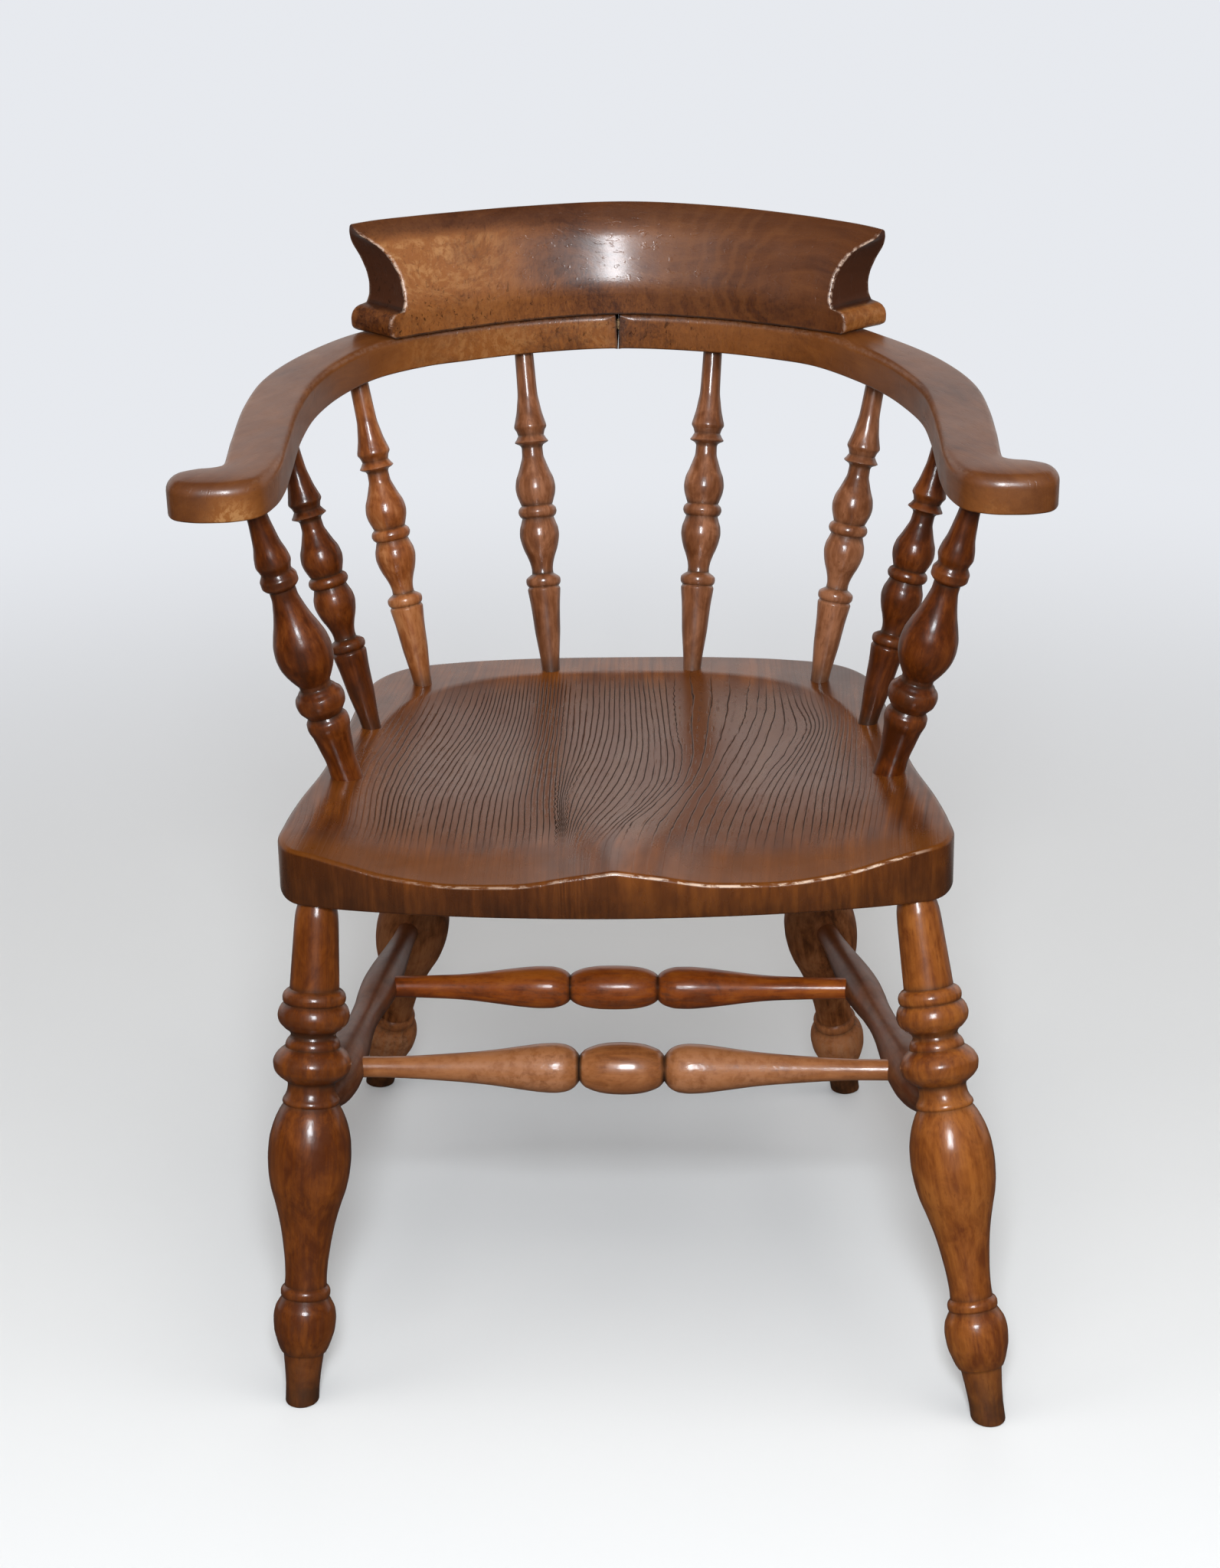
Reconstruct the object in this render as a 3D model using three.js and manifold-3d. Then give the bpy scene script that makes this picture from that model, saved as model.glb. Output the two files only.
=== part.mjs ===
// Smoker's bow captain's chair: a saddled seat on four turned legs, with a low bow of two arms on turned
// posts and spindles, and a crest rail with scrolled ends over the joint of the arms.
// Millimetres, +Z up. The chair faces -Y, and left and right are as seen from its front.
import * as THREE from "three";
import { mergeVertices } from "three/addons/utils/BufferGeometryUtils.js";
import Module from "manifold-3d";

const wasm = await Module();
wasm.setup();

// Seat
const seatHeight = 437;
const seatThickness = 47.5;
const seatHalfWidth = 257;
const seatBackReach = 262;
const seatFrontReach = 201.5;
const seatEdgeRound = 5;
const dishDepth = 13;
const dishHalfWidth = 207;
const dishBackReach = 220;
const dishMiddle = -30;
const frontRidgeWidth = 26;
const dishSquareness = 2.6;
const pommelDrop = 8;
const hollowDrop = 21;
const cornerDrop = 4;
const pommelReach = 92;
const hollowReach = 130;

// Bow: both arms lie in one plane that rises to the back
const bowHeight = 675.9;
const bowSlope = 0.091;
const armThickness = 31;
const armWidth = 46;
const armWaist = 39;
const armWaistReach = 120;
const armEdgeRound = 2.5;
const armHalfSpan = 250;
const armBackReach = 302;
const paddleOverhang = 86;
const paddleFront = 91;

// Crest rail
const crestHeight = 88;
const crestDepth = 43;
const crestHalfLength = 210;

// Legs: their tops are shares of the seat's half width and of its reach, and their feet splay out from there
const frontLegTopShares = [0.8872, -0.7692];
const rearLegTopShares = [0.572, 0.5763];
const frontLegSplayOut = 38.5;
const frontLegSplayForward = 105;
const rearLegSplayOut = 72.5;
const rearLegSplayBack = 136.5;
const legBellyDiameter = 64.5;
const legTenonLength = 28;
// The old under-frame has racked: its feet stand a little off the square
const rackSideways = 16.5;
const frontRackForward = 15;
const rearRackForward = 10;

// Stretchers: places are shares of the legs and of the side stretchers
const sideStretcherDiameter = 41.5;
const sideStretcherEndDiameter = 19;
const frontStretcherDiameter = 42;
const rearStretcherDiameter = 36.5;
const crossStretcherEndDiameter = 17;
const frontLegJointShare = 0.4485;
const rearLegJointShare = 0.4817;
const frontCrossShare = 0.256;
const rearCrossShare = 0.64;

// Arm posts and back spindles: feet as shares of the seat's half width and back reach, and heads as shares
// of the arms' half span and back reach
const postBellyDiameter = 45.8;
const spindleBellyDiameter = 34.6;
const postFootShares = [0.8405, -0.084];
const postHeadShares = [1.108, -0.1258];
const spindlePlaces = [
  { name: "inner", footShares: [0.2393, 0.8702], headShares: [0.328, 1.0199] },
  { name: "middle", footShares: [0.6654, 0.7405], headShares: [0.88, 0.7914] },
  { name: "outer", footShares: [0.8016, 0.3397], headShares: [1.08, 0.394] },
];
const postSeatTenon = 25;
const postArmTenon = 19;
const spindleSeatTenon = 22;
const spindleArmTenon = 18;

// Hidden dowels
const dowelDiameter = 10;
const dowelLength = 28;
const crestDowelShares = [-0.66, -0.26, 0.26, 0.66];

// Fit and facets
const clearance = 0.3;
const cutOverrun = 20;
const weldDistance = 1e-4;
const thickSides = 12;
const slimSides = 9;
const seatOutlineSteps = 52;
const bowSteps = 40;
const paddleSteps = 26;
const crestColumns = 22;

// Profiles: share of the length from the start, and share of the widest diameter
const legProfileShares = [
  [0, 0.434], [0.0137, 0.434], [0.055, 0.527], [0.1767, 0.586], [0.1868, 0.713], [0.211, 0.76],
  [0.22, 0.845], [0.2381, 0.845], [0.2522, 0.682], [0.2653, 0.527], [0.2915, 0.659], [0.3015, 0.822],
  [0.3217, 0.93], [0.3428, 0.853], [0.3569, 0.651], [0.3629, 0.574], [0.377, 0.581], [0.4012, 0.682],
  [0.4052, 0.659], [0.4263, 0.806], [0.4565, 0.938], [0.4928, 0.992], [0.528, 0.992], [0.5693, 0.915],
  [0.6145, 0.76], [0.6659, 0.616], [0.7273, 0.516], [0.7715, 0.512], [0.7806, 0.589], [0.7957, 0.589],
  [0.8118, 0.721], [0.839, 0.753], [0.8742, 0.682], [0.9004, 0.574], [0.9074, 0.488], [0.9406, 0.442],
  [1, 0.403],
];
const postProfileShares = [
  [0, 0.535], [0.06, 0.524], [0.16, 0.666], [0.195, 0.753], [0.215, 0.72], [0.232, 0.633], [0.246, 0.731],
  [0.266, 0.847], [0.285, 0.869], [0.305, 0.819], [0.315, 0.699], [0.333, 0.557], [0.346, 0.557],
  [0.373, 0.72], [0.405, 0.895], [0.435, 0.982], [0.465, 1], [0.5, 0.95], [0.54, 0.819], [0.585, 0.644],
  [0.63, 0.52], [0.685, 0.463], [0.694, 0.611], [0.702, 0.651], [0.722, 0.651], [0.733, 0.59],
  [0.745, 0.535], [0.757, 0.568], [0.775, 0.624], [0.805, 0.568], [0.85, 0.459], [0.9, 0.393],
  [0.95, 0.36], [1, 0.349],
];
const spindleProfileShares = [
  [0, 0.448], [0.03, 0.462], [0.14, 0.65], [0.245, 0.821], [0.258, 0.751], [0.266, 0.867], [0.285, 0.867],
  [0.293, 0.751], [0.3, 0.54], [0.32, 0.543], [0.35, 0.673], [0.385, 0.89], [0.42, 0.991], [0.45, 0.925],
  [0.474, 0.798], [0.482, 0.925], [0.5, 0.954], [0.512, 0.78], [0.535, 0.896], [0.566, 1], [0.592, 0.945],
  [0.625, 0.751], [0.66, 0.564], [0.69, 0.523], [0.7, 0.578], [0.708, 0.838], [0.717, 0.766],
  [0.728, 0.645], [0.745, 0.708], [0.757, 0.815], [0.79, 0.665], [0.83, 0.564], [0.88, 0.486], [1, 0.462],
];
// Side stretchers: share of the length from the front leg, and share of the swell from end to widest
const sideSwellShares = [
  [0.085, 0], [0.13, 0.36], [0.175, 0.8], [0.22, 1], [0.28, 0.96], [0.35, 0.67], [0.41, 0.37], [0.47, 0.23],
  [0.53, 0.31], [0.6, 0.5], [0.66, 0.54], [0.73, 0.42], [0.8, 0.26], [0.87, 0.09], [0.92, 0],
];
// Cross stretchers: share of the half length from the middle, and share of the widest diameter
const frontCrossHalfShares = [
  [0, 1], [0.08, 0.97], [0.12, 0.86], [0.138, 0.7], [0.149, 0.55], [0.16, 0.68], [0.18, 0.83],
  [0.203, 0.92], [0.237, 0.95], [0.281, 0.93], [0.34, 0.85], [0.4, 0.76], [0.46, 0.675], [0.51, 0.61],
  [0.63, 0.51], [0.75, 0.44], [0.87, 0.405],
];
const rearCrossHalfShares = [
  [0, 1], [0.05, 0.99], [0.097, 0.94], [0.129, 0.87], [0.155, 0.78], [0.171, 0.68], [0.182, 0.575],
  [0.194, 0.71], [0.211, 0.83], [0.233, 0.915], [0.262, 0.975], [0.306, 0.985], [0.382, 0.925],
  [0.452, 0.83], [0.524, 0.73], [0.596, 0.635], [0.666, 0.57], [0.74, 0.52], [0.87, 0.466],
];

// Outlines, as shares of the reaches above
const seatSideShares = [
  [0, 1], [0.317, 0.992], [0.556, 0.961], [0.734, 0.903], [0.825, 0.795], [0.861, 0.64], [0.889, 0.31],
  [0.925, -0.025],
];
const seatFrontShares = [
  [0.972, 0.347], [0.996, 0.571], [1, 0.72], [0.956, 0.83], [0.861, 0.877], [0.651, 0.933], [0.373, 0.978],
];
// The dish's rings, from its edge to its middle
const dishRingShares = [0, 0.06, 0.14, 0.26, 0.44, 0.7];
// The right arm was bent a little tighter than the left
const bowLeftShares = [
  [0, 1], [0.3, 0.965], [0.536, 0.9], [0.64, 0.866], [0.8, 0.77], [0.904, 0.635], [0.972, 0.47], [1, 0.281],
  [1.002, 0.033],
];
const bowRightShares = [
  [0, 1], [0.32, 0.956], [0.532, 0.889], [0.66, 0.83], [0.796, 0.702], [0.883, 0.587], [0.936, 0.485],
  [0.984, 0.352], [1, 0.199], [1.002, 0.033],
];
const crestFaceShares = [[0, 1], [0.3, 0.956], [0.536, 0.885], [0.64, 0.846], [0.76, 0.79], [0.9, 0.67]];
const paddleInnerShares = [[1.004, -0.33], [1.02, -0.64], [1.06, -0.88]];
const paddleTipShares = [
  [0.387, -0.98], [0.582, -1], [0.766, -0.99], [0.941, -0.92], [1, -0.77], [0.953, -0.62], [0.766, -0.515],
  [0.63, -0.492], [0.566, -0.463], [0.54, -0.4],
];

// Crest section: share of the height, then front, back and the recess of the ends at the front and at the back
// as shares of the depth
const crestRowShares = [
  [0, 0, 1, 0.279, 0.047], [0.033, 0, 1, 0.209, -0.023], [0.087, 0, 1, 0.177, -0.042], [0.12, 0, 1, 0.17, -0.04],
  [0.164, 0, 1, 0.184, -0.014], [0.208, 0, 1, 0.238, 0.026], [0.235, 0.003, 1, 0.36, 0.12],
  [0.245, 0.005, 1, 0.49, 0.222], [0.327, 0.042, 1, 0.54, 0.26], [0.4125, 0.102, 1, 0.551, 0.267],
  [0.52, 0.193, 1, 0.542, 0.242], [0.615, 0.277, 1, 0.488, 0.193], [0.693, 0.347, 1, 0.426, 0.144],
  [0.752, 0.407, 1, 0.356, 0.098], [0.795, 0.46, 1, 0.29, 0.058], [0.873, 0.579, 1, 0.135, 0.018],
  [0.931, 0.69, 0.98, 0.012, 0.002], [0.97, 0.784, 0.95, 0, 0], [1, 0.872, 0.9, 0, 0],
];

const wood = {
  turned: new THREE.MeshStandardMaterial({ color: 0x7a3a1c, roughness: 0.28, metalness: 0 }),
  seat: new THREE.MeshStandardMaterial({ color: 0x6b4128, roughness: 0.42, metalness: 0 }),
  bow: new THREE.MeshStandardMaterial({ color: 0x6e3c20, roughness: 0.36, metalness: 0 }),
  hidden: new THREE.MeshStandardMaterial({ color: 0xa87b4c, roughness: 0.7, metalness: 0 }),
};

// Solids

// Turns a closed geometry into a solid for joining and cutting.
function solidOf(geometry) {
  const bare = geometry.clone();
  bare.deleteAttribute("normal");
  bare.deleteAttribute("uv");
  const merged = mergeVertices(bare, weldDistance);
  return new wasm.Manifold(
    new wasm.Mesh({
      numProp: 3,
      vertProperties: merged.attributes.position.array,
      triVerts: new Uint32Array(merged.index.array),
    }),
  );
}

// Turns a solid back into a geometry that three.js can draw.
function geometryOf(solid) {
  const mesh = solid.getMesh();
  const geometry = new THREE.BufferGeometry();
  geometry.setAttribute("position", new THREE.BufferAttribute(mesh.vertProperties, mesh.numProp));
  geometry.setIndex(new THREE.BufferAttribute(mesh.triVerts, 1));
  geometry.computeVertexNormals();
  return geometry;
}

// Cuts the cutters, given in the parent's frame, out of a mesh that is already placed.
function cutFrom(mesh, cutters) {
  mesh.updateMatrix();
  const intoMesh = mesh.matrix.clone().invert();
  let solid = solidOf(mesh.geometry);
  for (const cutter of cutters) solid = solid.subtract(solidOf(cutter.clone().applyMatrix4(intoMesh)));
  mesh.geometry = geometryOf(solid);
}

// A turned solid along +Z from a list of [height, radius] points.
function turnedGeometry(points, sides) {
  const outline = points.map(([height, radius]) => new THREE.Vector2(radius, height));
  const start = new THREE.Vector2(0, outline[0].y);
  const end = new THREE.Vector2(0, outline.at(-1).y);
  return new THREE.LatheGeometry([start, ...outline, end], sides).rotateX(Math.PI / 2);
}

// A straight line that turned pieces and their sockets share, with the matrix that stands +Z on it.
function axisLine(from, to) {
  const direction = to.clone().sub(from).normalize();
  const turn = new THREE.Quaternion().setFromUnitVectors(new THREE.Vector3(0, 0, 1), direction);
  return {
    from,
    to,
    length: from.distanceTo(to),
    matrix: new THREE.Matrix4().compose(from, turn, new THREE.Vector3(1, 1, 1)),
  };
}

// A turned piece on a line from a profile of shares, with a plain tenon past each end.
function turnedPiece(name, line, { shares, diameter, sides }, startTenon = 0, endTenon = 0) {
  const points = shares.map(([along, wide]) => [along * line.length, (wide * diameter) / 2]);
  if (startTenon) points.unshift([-startTenon, points[0][1]]);
  if (endTenon) points.push([line.length + endTenon, points.at(-1)[1]]);
  const mesh = new THREE.Mesh(turnedGeometry(points, sides), wood.turned);
  mesh.name = name;
  mesh.applyMatrix4(line.matrix);
  return mesh;
}

// A cutter for a round socket between two heights on a line.
function socketOn(line, low, high, diameter, sides) {
  const radius = diameter / 2 + clearance;
  return turnedGeometry([[low, radius], [high, radius]], sides).applyMatrix4(line.matrix);
}

// A cutter for a piece's tenon at the start of its line, open towards the piece.
function startSocket(line, { shares, diameter, sides }, depth, opening = cutOverrun) {
  return socketOn(line, -depth - clearance, opening, shares[0][1] * diameter, sides);
}

// A cutter for a piece's tenon at the end of its line, open towards the piece.
function endSocket(line, { shares, diameter, sides }, depth, opening = cutOverrun) {
  const high = line.length + depth + clearance;
  return socketOn(line, line.length - opening, high, shares.at(-1)[1] * diameter, sides);
}

// A closed or open smooth curve through plane points.
function smoothCurve(points, closed) {
  const spots = points.map(([x, y]) => new THREE.Vector3(x, y, 0));
  return new THREE.CatmullRomCurve3(spots, closed, "centripetal");
}

// Shares of two reaches as plane points.
const sized = (shares, xReach, yReach) => shares.map(([x, y]) => [x * xReach, y * yReach]);

// A half outline and its mirror image about the middle line, in the outline's own order.
const mirrorBack = (points) => points.map(([x, y]) => [-x, y]).reverse();

const ease = (value) => THREE.MathUtils.smoothstep(value, 0, 1);

// Seat

// How far a place lies from the dish's middle: 1 on the dish's edge, more outside it.
function dishReach(x, y) {
  const span = y > dishMiddle ? dishBackReach - dishMiddle : -seatFrontReach + frontRidgeWidth - dishMiddle;
  const across = Math.abs(x) / dishHalfWidth;
  const along = (y - dishMiddle) / span;
  return Math.pow(Math.pow(across, dishSquareness) + Math.pow(along, dishSquareness), 1 / dishSquareness);
}

// How far the front edge drops below the rim at a distance from the middle: pommel, hollow, corner.
function frontDrop(x) {
  const side = Math.abs(x);
  const hollow = THREE.MathUtils.lerp(pommelDrop, hollowDrop, ease(side / pommelReach));
  const toCorner = ease((side - hollowReach) / (seatHalfWidth - hollowReach));
  return THREE.MathUtils.lerp(hollow, cornerDrop, toCorner);
}

// How far the saddled top lies below the rim at a place on the seat.
function seatDrop(x, y) {
  const reach = Math.min(dishReach(x, Math.max(y, dishMiddle)), 1);
  const dish = dishDepth * (1 - Math.pow(reach, 4));
  const frontness = ease((dishMiddle - y) / (seatFrontReach + dishMiddle));
  return THREE.MathUtils.lerp(dish, frontDrop(x), frontness);
}

// The seat's outline seen from above, counter-clockwise.
function seatOutline() {
  const front = sized(seatFrontShares, seatHalfWidth, -seatFrontReach);
  const side = sized(seatSideShares, seatHalfWidth, seatBackReach);
  const right = [...side.slice(1), ...front];
  const whole = [side[0], ...right, [0, -seatFrontReach], ...mirrorBack(right)];
  const curve = smoothCurve(whole, true);
  return curve.getSpacedPoints(seatOutlineSteps).slice(0, -1).reverse();
}

// The seat as rings from its underside, over its edge and the dish's edge, to the dish's middle.
function seatGeometry() {
  const outline = seatOutline();
  const count = outline.length;
  const bottom = seatHeight - seatThickness;
  const middle = new THREE.Vector3(0, dishMiddle, 0);
  const inset = outline.map((spot) => spot.clone().multiplyScalar(1 - seatEdgeRound / seatHalfWidth));
  const crease = outline.map((spot) => spot.clone().lerp(middle, 1 - 1 / dishReach(spot.x, spot.y)));
  const towardsMiddle = (share) => crease.map((spot) => spot.clone().lerp(middle, share));
  const onTop = (spot) => seatHeight - seatDrop(spot.x, spot.y);
  const rings = [
    { spots: inset, height: () => bottom },
    { spots: outline, height: () => bottom + seatEdgeRound },
    { spots: outline, height: (spot) => onTop(spot) - seatEdgeRound },
    { spots: inset, height: onTop },
    ...dishRingShares.map((share) => ({ spots: towardsMiddle(share), height: onTop })),
  ];
  const places = rings.flatMap(({ spots, height }) =>
    spots.flatMap((spot) => [spot.x, spot.y, height(spot)]),
  );
  const under = places.length / 3;
  places.push(0, dishMiddle, bottom);
  places.push(0, dishMiddle, onTop(middle));
  const last = (rings.length - 1) * count;
  const faces = [];
  for (let i = 0; i < count; i++) {
    const next = (i + 1) % count;
    faces.push(under, next, i);
    faces.push(under + 1, last + i, last + next);
    for (let low = 0; low < last; low += count) {
      const high = low + count;
      faces.push(low + i, low + next, high + next, low + i, high + next, high + i);
    }
  }
  const geometry = new THREE.BufferGeometry();
  geometry.setAttribute("position", new THREE.Float32BufferAttribute(places, 3));
  geometry.setIndex(faces);
  return geometry;
}

// Bow: it is drawn flat, from its underside up, in a frame that leans back by the slope

const bowMatrix = new THREE.Matrix4().makeRotationX(Math.atan(bowSlope)).setPosition(0, 0, bowHeight);
const intoBow = bowMatrix.clone().invert();

// A smooth curve from left to right through two half lists that start on the middle line.
function curveAcross(leftShares, rightShares) {
  const left = sized(leftShares.slice(1), armHalfSpan, armBackReach);
  const right = sized(rightShares, armHalfSpan, armBackReach);
  return smoothCurve([...mirrorBack(left), ...right], false);
}

// A place beside a curve: a share of its length from left to right, and a distance outward.
function spotBeside(curve, share, outward) {
  const spot = curve.getPointAt(share);
  const tangent = curve.getTangentAt(share);
  return new THREE.Vector2(spot.x - tangent.y * outward, spot.y + tangent.x * outward);
}

const bowInner = curveAcross(bowLeftShares, bowRightShares);
const bowLength = bowInner.getLength();
const crestFace = curveAcross(crestFaceShares, crestFaceShares);

// The arm's width at a share of the bow: as deep as the crest in the middle, with a waist at its ends.
function armWidthAt(share) {
  const fromMiddle = Math.abs(share - 0.5) * bowLength;
  const pastCrest = ease((fromMiddle - crestHalfLength) / armWaistReach);
  const underCrest = ease((crestHalfLength - fromMiddle) / armWaistReach);
  return armWaist + pastCrest * (armWidth - armWaist) + underCrest * (crestDepth - armWaist);
}

// The outline of the whole bow, counter-clockwise, with its two scrolled paddles.
function bowOutline() {
  const start = spotBeside(bowInner, 1, 0);
  const paddleHalf = [
    [start.x, start.y],
    ...sized(paddleInnerShares, armHalfSpan, paddleFront),
    ...sized(paddleTipShares, paddleOverhang, paddleFront).map(([x, y]) => [armHalfSpan + x, y]),
  ];
  const paddle = smoothCurve(paddleHalf, false).getSpacedPoints(paddleSteps).slice(1);
  const rightPaddle = paddle.map((spot) => new THREE.Vector2(spot.x, spot.y));
  const leftPaddle = rightPaddle.map((spot) => new THREE.Vector2(-spot.x, spot.y)).reverse();
  const shares = Array.from({ length: bowSteps + 1 }, (_, index) => index / bowSteps);
  const inner = shares.map((share) => spotBeside(bowInner, share, 0));
  const outer = shares.map((share) => spotBeside(bowInner, share, armWidthAt(share))).reverse();
  return [...inner, ...rightPaddle, ...outer, ...leftPaddle].reverse();
}

// The bow in one piece, from its underside up.
function bowGeometry() {
  return new THREE.ExtrudeGeometry(new THREE.Shape(bowOutline()), {
    depth: armThickness - 2 * armEdgeRound,
    bevelThickness: armEdgeRound,
    bevelSize: armEdgeRound,
    bevelOffset: -armEdgeRound,
    bevelSegments: 1,
    steps: 1,
  }).translate(0, 0, armEdgeRound);
}

// One arm: the bow without its other half, which a block as large as the whole takes away.
function armMesh(word, side) {
  const arm = new THREE.Mesh(bowGeometry(), wood.bow);
  arm.name = `${word}_arm`;
  const paddleReach = armHalfSpan + paddleOverhang;
  const otherHalf = new THREE.BoxGeometry(2 * paddleReach, 4 * armBackReach, 4 * armThickness);
  otherHalf.translate(side * (clearance / 2 - paddleReach), 0, 0);
  cutFrom(arm, [otherHalf]);
  return arm;
}

// Crest rail

const crestHalfShare = crestHalfLength / crestFace.getLength();

// The crest as rows from bottom to top, each with a front and a back line from end to end.
function crestGeometry() {
  const lines = crestRowShares.flatMap(([high, front, back, frontRecess, backRecess]) => {
    const height = armThickness + clearance + high * crestHeight;
    const line = (deep, recess) => ({
      half: crestHalfShare * (1 - (recess * crestDepth) / crestHalfLength),
      height,
      outward: deep * crestDepth,
    });
    return [line(front, frontRecess), line(back, backRecess)];
  });
  const places = lines.flatMap(({ half, height, outward }) =>
    Array.from({ length: crestColumns + 1 }, (_, column) => {
      const share = 0.5 + half * ((2 * column) / crestColumns - 1);
      const spot = spotBeside(crestFace, share, outward);
      return [spot.x, spot.y, height];
    }).flat(),
  );
  const wide = crestColumns + 1;
  const front = (row, column) => 2 * row * wide + column;
  const back = (row, column) => (2 * row + 1) * wide + column;
  const faces = [];
  const quad = (a, b, c, d) => faces.push(a, b, c, a, c, d);
  const top = crestRowShares.length - 1;
  for (let row = 0; row < top; row++) {
    for (let i = 0; i < crestColumns; i++) {
      quad(front(row, i), front(row, i + 1), front(row + 1, i + 1), front(row + 1, i));
      quad(back(row, i + 1), back(row, i), back(row + 1, i), back(row + 1, i + 1));
    }
    quad(back(row, 0), front(row, 0), front(row + 1, 0), back(row + 1, 0));
    const end = crestColumns;
    quad(front(row, end), back(row, end), back(row + 1, end), front(row + 1, end));
  }
  for (let i = 0; i < crestColumns; i++) {
    quad(back(0, i), back(0, i + 1), front(0, i + 1), front(0, i));
    quad(front(top, i), front(top, i + 1), back(top, i + 1), back(top, i));
  }
  const geometry = new THREE.BufferGeometry();
  geometry.setAttribute("position", new THREE.Float32BufferAttribute(places, 3));
  geometry.setIndex(faces);
  return geometry;
}

// Assembly: each joint's cutters are gathered first, and the seat, arms and crest are cut last

const chair = new THREE.Group();
const upperFrame = new THREE.Group();
const underFrame = new THREE.Group();
const bow = new THREE.Group();
bow.applyMatrix4(bowMatrix);

const handed = [
  { word: "left", side: -1 },
  { word: "right", side: 1 },
];
const seatCutters = [];
const armCutters = { left: [], right: [] };
const crestCutters = [];

// A leg's axis, from under the seat to the floor.
function legLine(side, isFront) {
  const [acrossShare, alongShare] = isFront ? frontLegTopShares : rearLegTopShares;
  const topX = side * acrossShare * seatHalfWidth;
  const topY = alongShare * (isFront ? seatFrontReach : seatBackReach);
  const footX = topX + side * (isFront ? frontLegSplayOut : rearLegSplayOut);
  const footY = topY + (isFront ? -frontLegSplayForward : rearLegSplayBack);
  const rackX = isFront ? rackSideways : -rackSideways;
  const rackY = -side * (isFront ? frontRackForward : rearRackForward);
  const top = new THREE.Vector3(topX, topY, seatHeight - seatThickness);
  return axisLine(top, new THREE.Vector3(footX + rackX, footY + rackY, 0));
}

// Legs stand in blind sockets under the seat and are cut level with the floor
const legTurning = { shares: legProfileShares, diameter: legBellyDiameter, sides: thickSides };
const floor = new THREE.BoxGeometry(4 * seatHalfWidth, 4 * seatBackReach, 4 * cutOverrun);
floor.translate(0, 0, -2 * cutOverrun);
const legs = {};
for (const { word, side } of handed)
  for (const [place, isFront] of [["front", true], ["rear", false]]) {
    const name = `${place}_${word}_leg`;
    const line = legLine(side, isFront);
    const mesh = turnedPiece(name, line, legTurning, legTenonLength, cutOverrun);
    cutFrom(mesh, [floor]);
    seatCutters.push(startSocket(line, legTurning, legTenonLength));
    underFrame.add(mesh);
    legs[name] = { mesh, line };
  }

// Side stretchers run from the front leg's axis to the rear leg's, and each leg is bored for them
const sideEnd = sideStretcherEndDiameter / sideStretcherDiameter;
const sideSwells = [[0, 0], ...sideSwellShares, [1, 0]];
const sideTurning = {
  shares: sideSwells.map(([along, swell]) => [along, sideEnd + swell * (1 - sideEnd)]),
  diameter: sideStretcherDiameter,
  sides: thickSides,
};
const sideStretchers = {};
for (const { word } of handed) {
  const front = legs[`front_${word}_leg`];
  const rear = legs[`rear_${word}_leg`];
  const frontJoint = front.line.from.clone().lerp(front.line.to, frontLegJointShare);
  const rearJoint = rear.line.from.clone().lerp(rear.line.to, rearLegJointShare);
  const line = axisLine(frontJoint, rearJoint);
  const mesh = turnedPiece(`${word}_side_stretcher`, line, sideTurning);
  cutFrom(front.mesh, [startSocket(line, sideTurning, 0, legBellyDiameter)]);
  cutFrom(rear.mesh, [endSocket(line, sideTurning, 0, legBellyDiameter)]);
  underFrame.add(mesh);
  sideStretchers[word] = { mesh, line };
}

// Cross stretchers run between the axes of the two side stretchers
const crossStretchers = [
  { name: "front_cross_stretcher", share: frontCrossShare, diameter: frontStretcherDiameter,
    halfShares: frontCrossHalfShares },
  { name: "rear_cross_stretcher", share: rearCrossShare, diameter: rearStretcherDiameter,
    halfShares: rearCrossHalfShares },
];
for (const { name, share, diameter, halfShares } of crossStretchers) {
  const { left, right } = sideStretchers;
  const line = axisLine(
    left.line.from.clone().lerp(left.line.to, share),
    right.line.from.clone().lerp(right.line.to, share),
  );
  const half = [...halfShares, [1, crossStretcherEndDiameter / diameter]];
  const leftHalf = half.slice(1).reverse().map(([out, wide]) => [(1 - out) / 2, wide]);
  const rightHalf = half.map(([out, wide]) => [(1 + out) / 2, wide]);
  const turning = { shares: [...leftHalf, ...rightHalf], diameter, sides: thickSides };
  underFrame.add(turnedPiece(name, line, turning));
  cutFrom(left.mesh, [startSocket(line, turning, 0, sideStretcherDiameter)]);
  cutFrom(right.mesh, [endSocket(line, turning, 0, sideStretcherDiameter)]);
}

// The underside of the bow above a place in the plan.
const underBow = (x, y) => new THREE.Vector3(x, y, bowHeight + bowSlope * y);

// Adds a post or spindle between the seat and the bow, and its two sockets.
function addUpright(name, word, line, turning, seatTenon, armTenon) {
  upperFrame.add(turnedPiece(name, line, turning, seatTenon, armTenon));
  seatCutters.push(startSocket(line, turning, seatTenon));
  armCutters[word].push(endSocket(line, turning, armTenon).applyMatrix4(intoBow));
}

const postTurning = { shares: postProfileShares, diameter: postBellyDiameter, sides: thickSides };
const spindleTurning = { shares: spindleProfileShares, diameter: spindleBellyDiameter, sides: slimSides };
for (const { word, side } of handed) {
  const upright = (footShares, headShares) => {
    const [[footX, footY]] = sized([footShares], side * seatHalfWidth, seatBackReach);
    const [[headX, headY]] = sized([headShares], side * armHalfSpan, armBackReach);
    return axisLine(new THREE.Vector3(footX, footY, seatHeight), underBow(headX, headY));
  };
  const post = upright(postFootShares, postHeadShares);
  addUpright(`${word}_arm_post`, word, post, postTurning, postSeatTenon, postArmTenon);
  for (const { name, footShares, headShares } of spindlePlaces) {
    const spindle = upright(footShares, headShares);
    const fullName = `${word}_${name}_spindle`;
    addUpright(fullName, word, spindle, spindleTurning, spindleSeatTenon, spindleArmTenon);
  }
}

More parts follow.
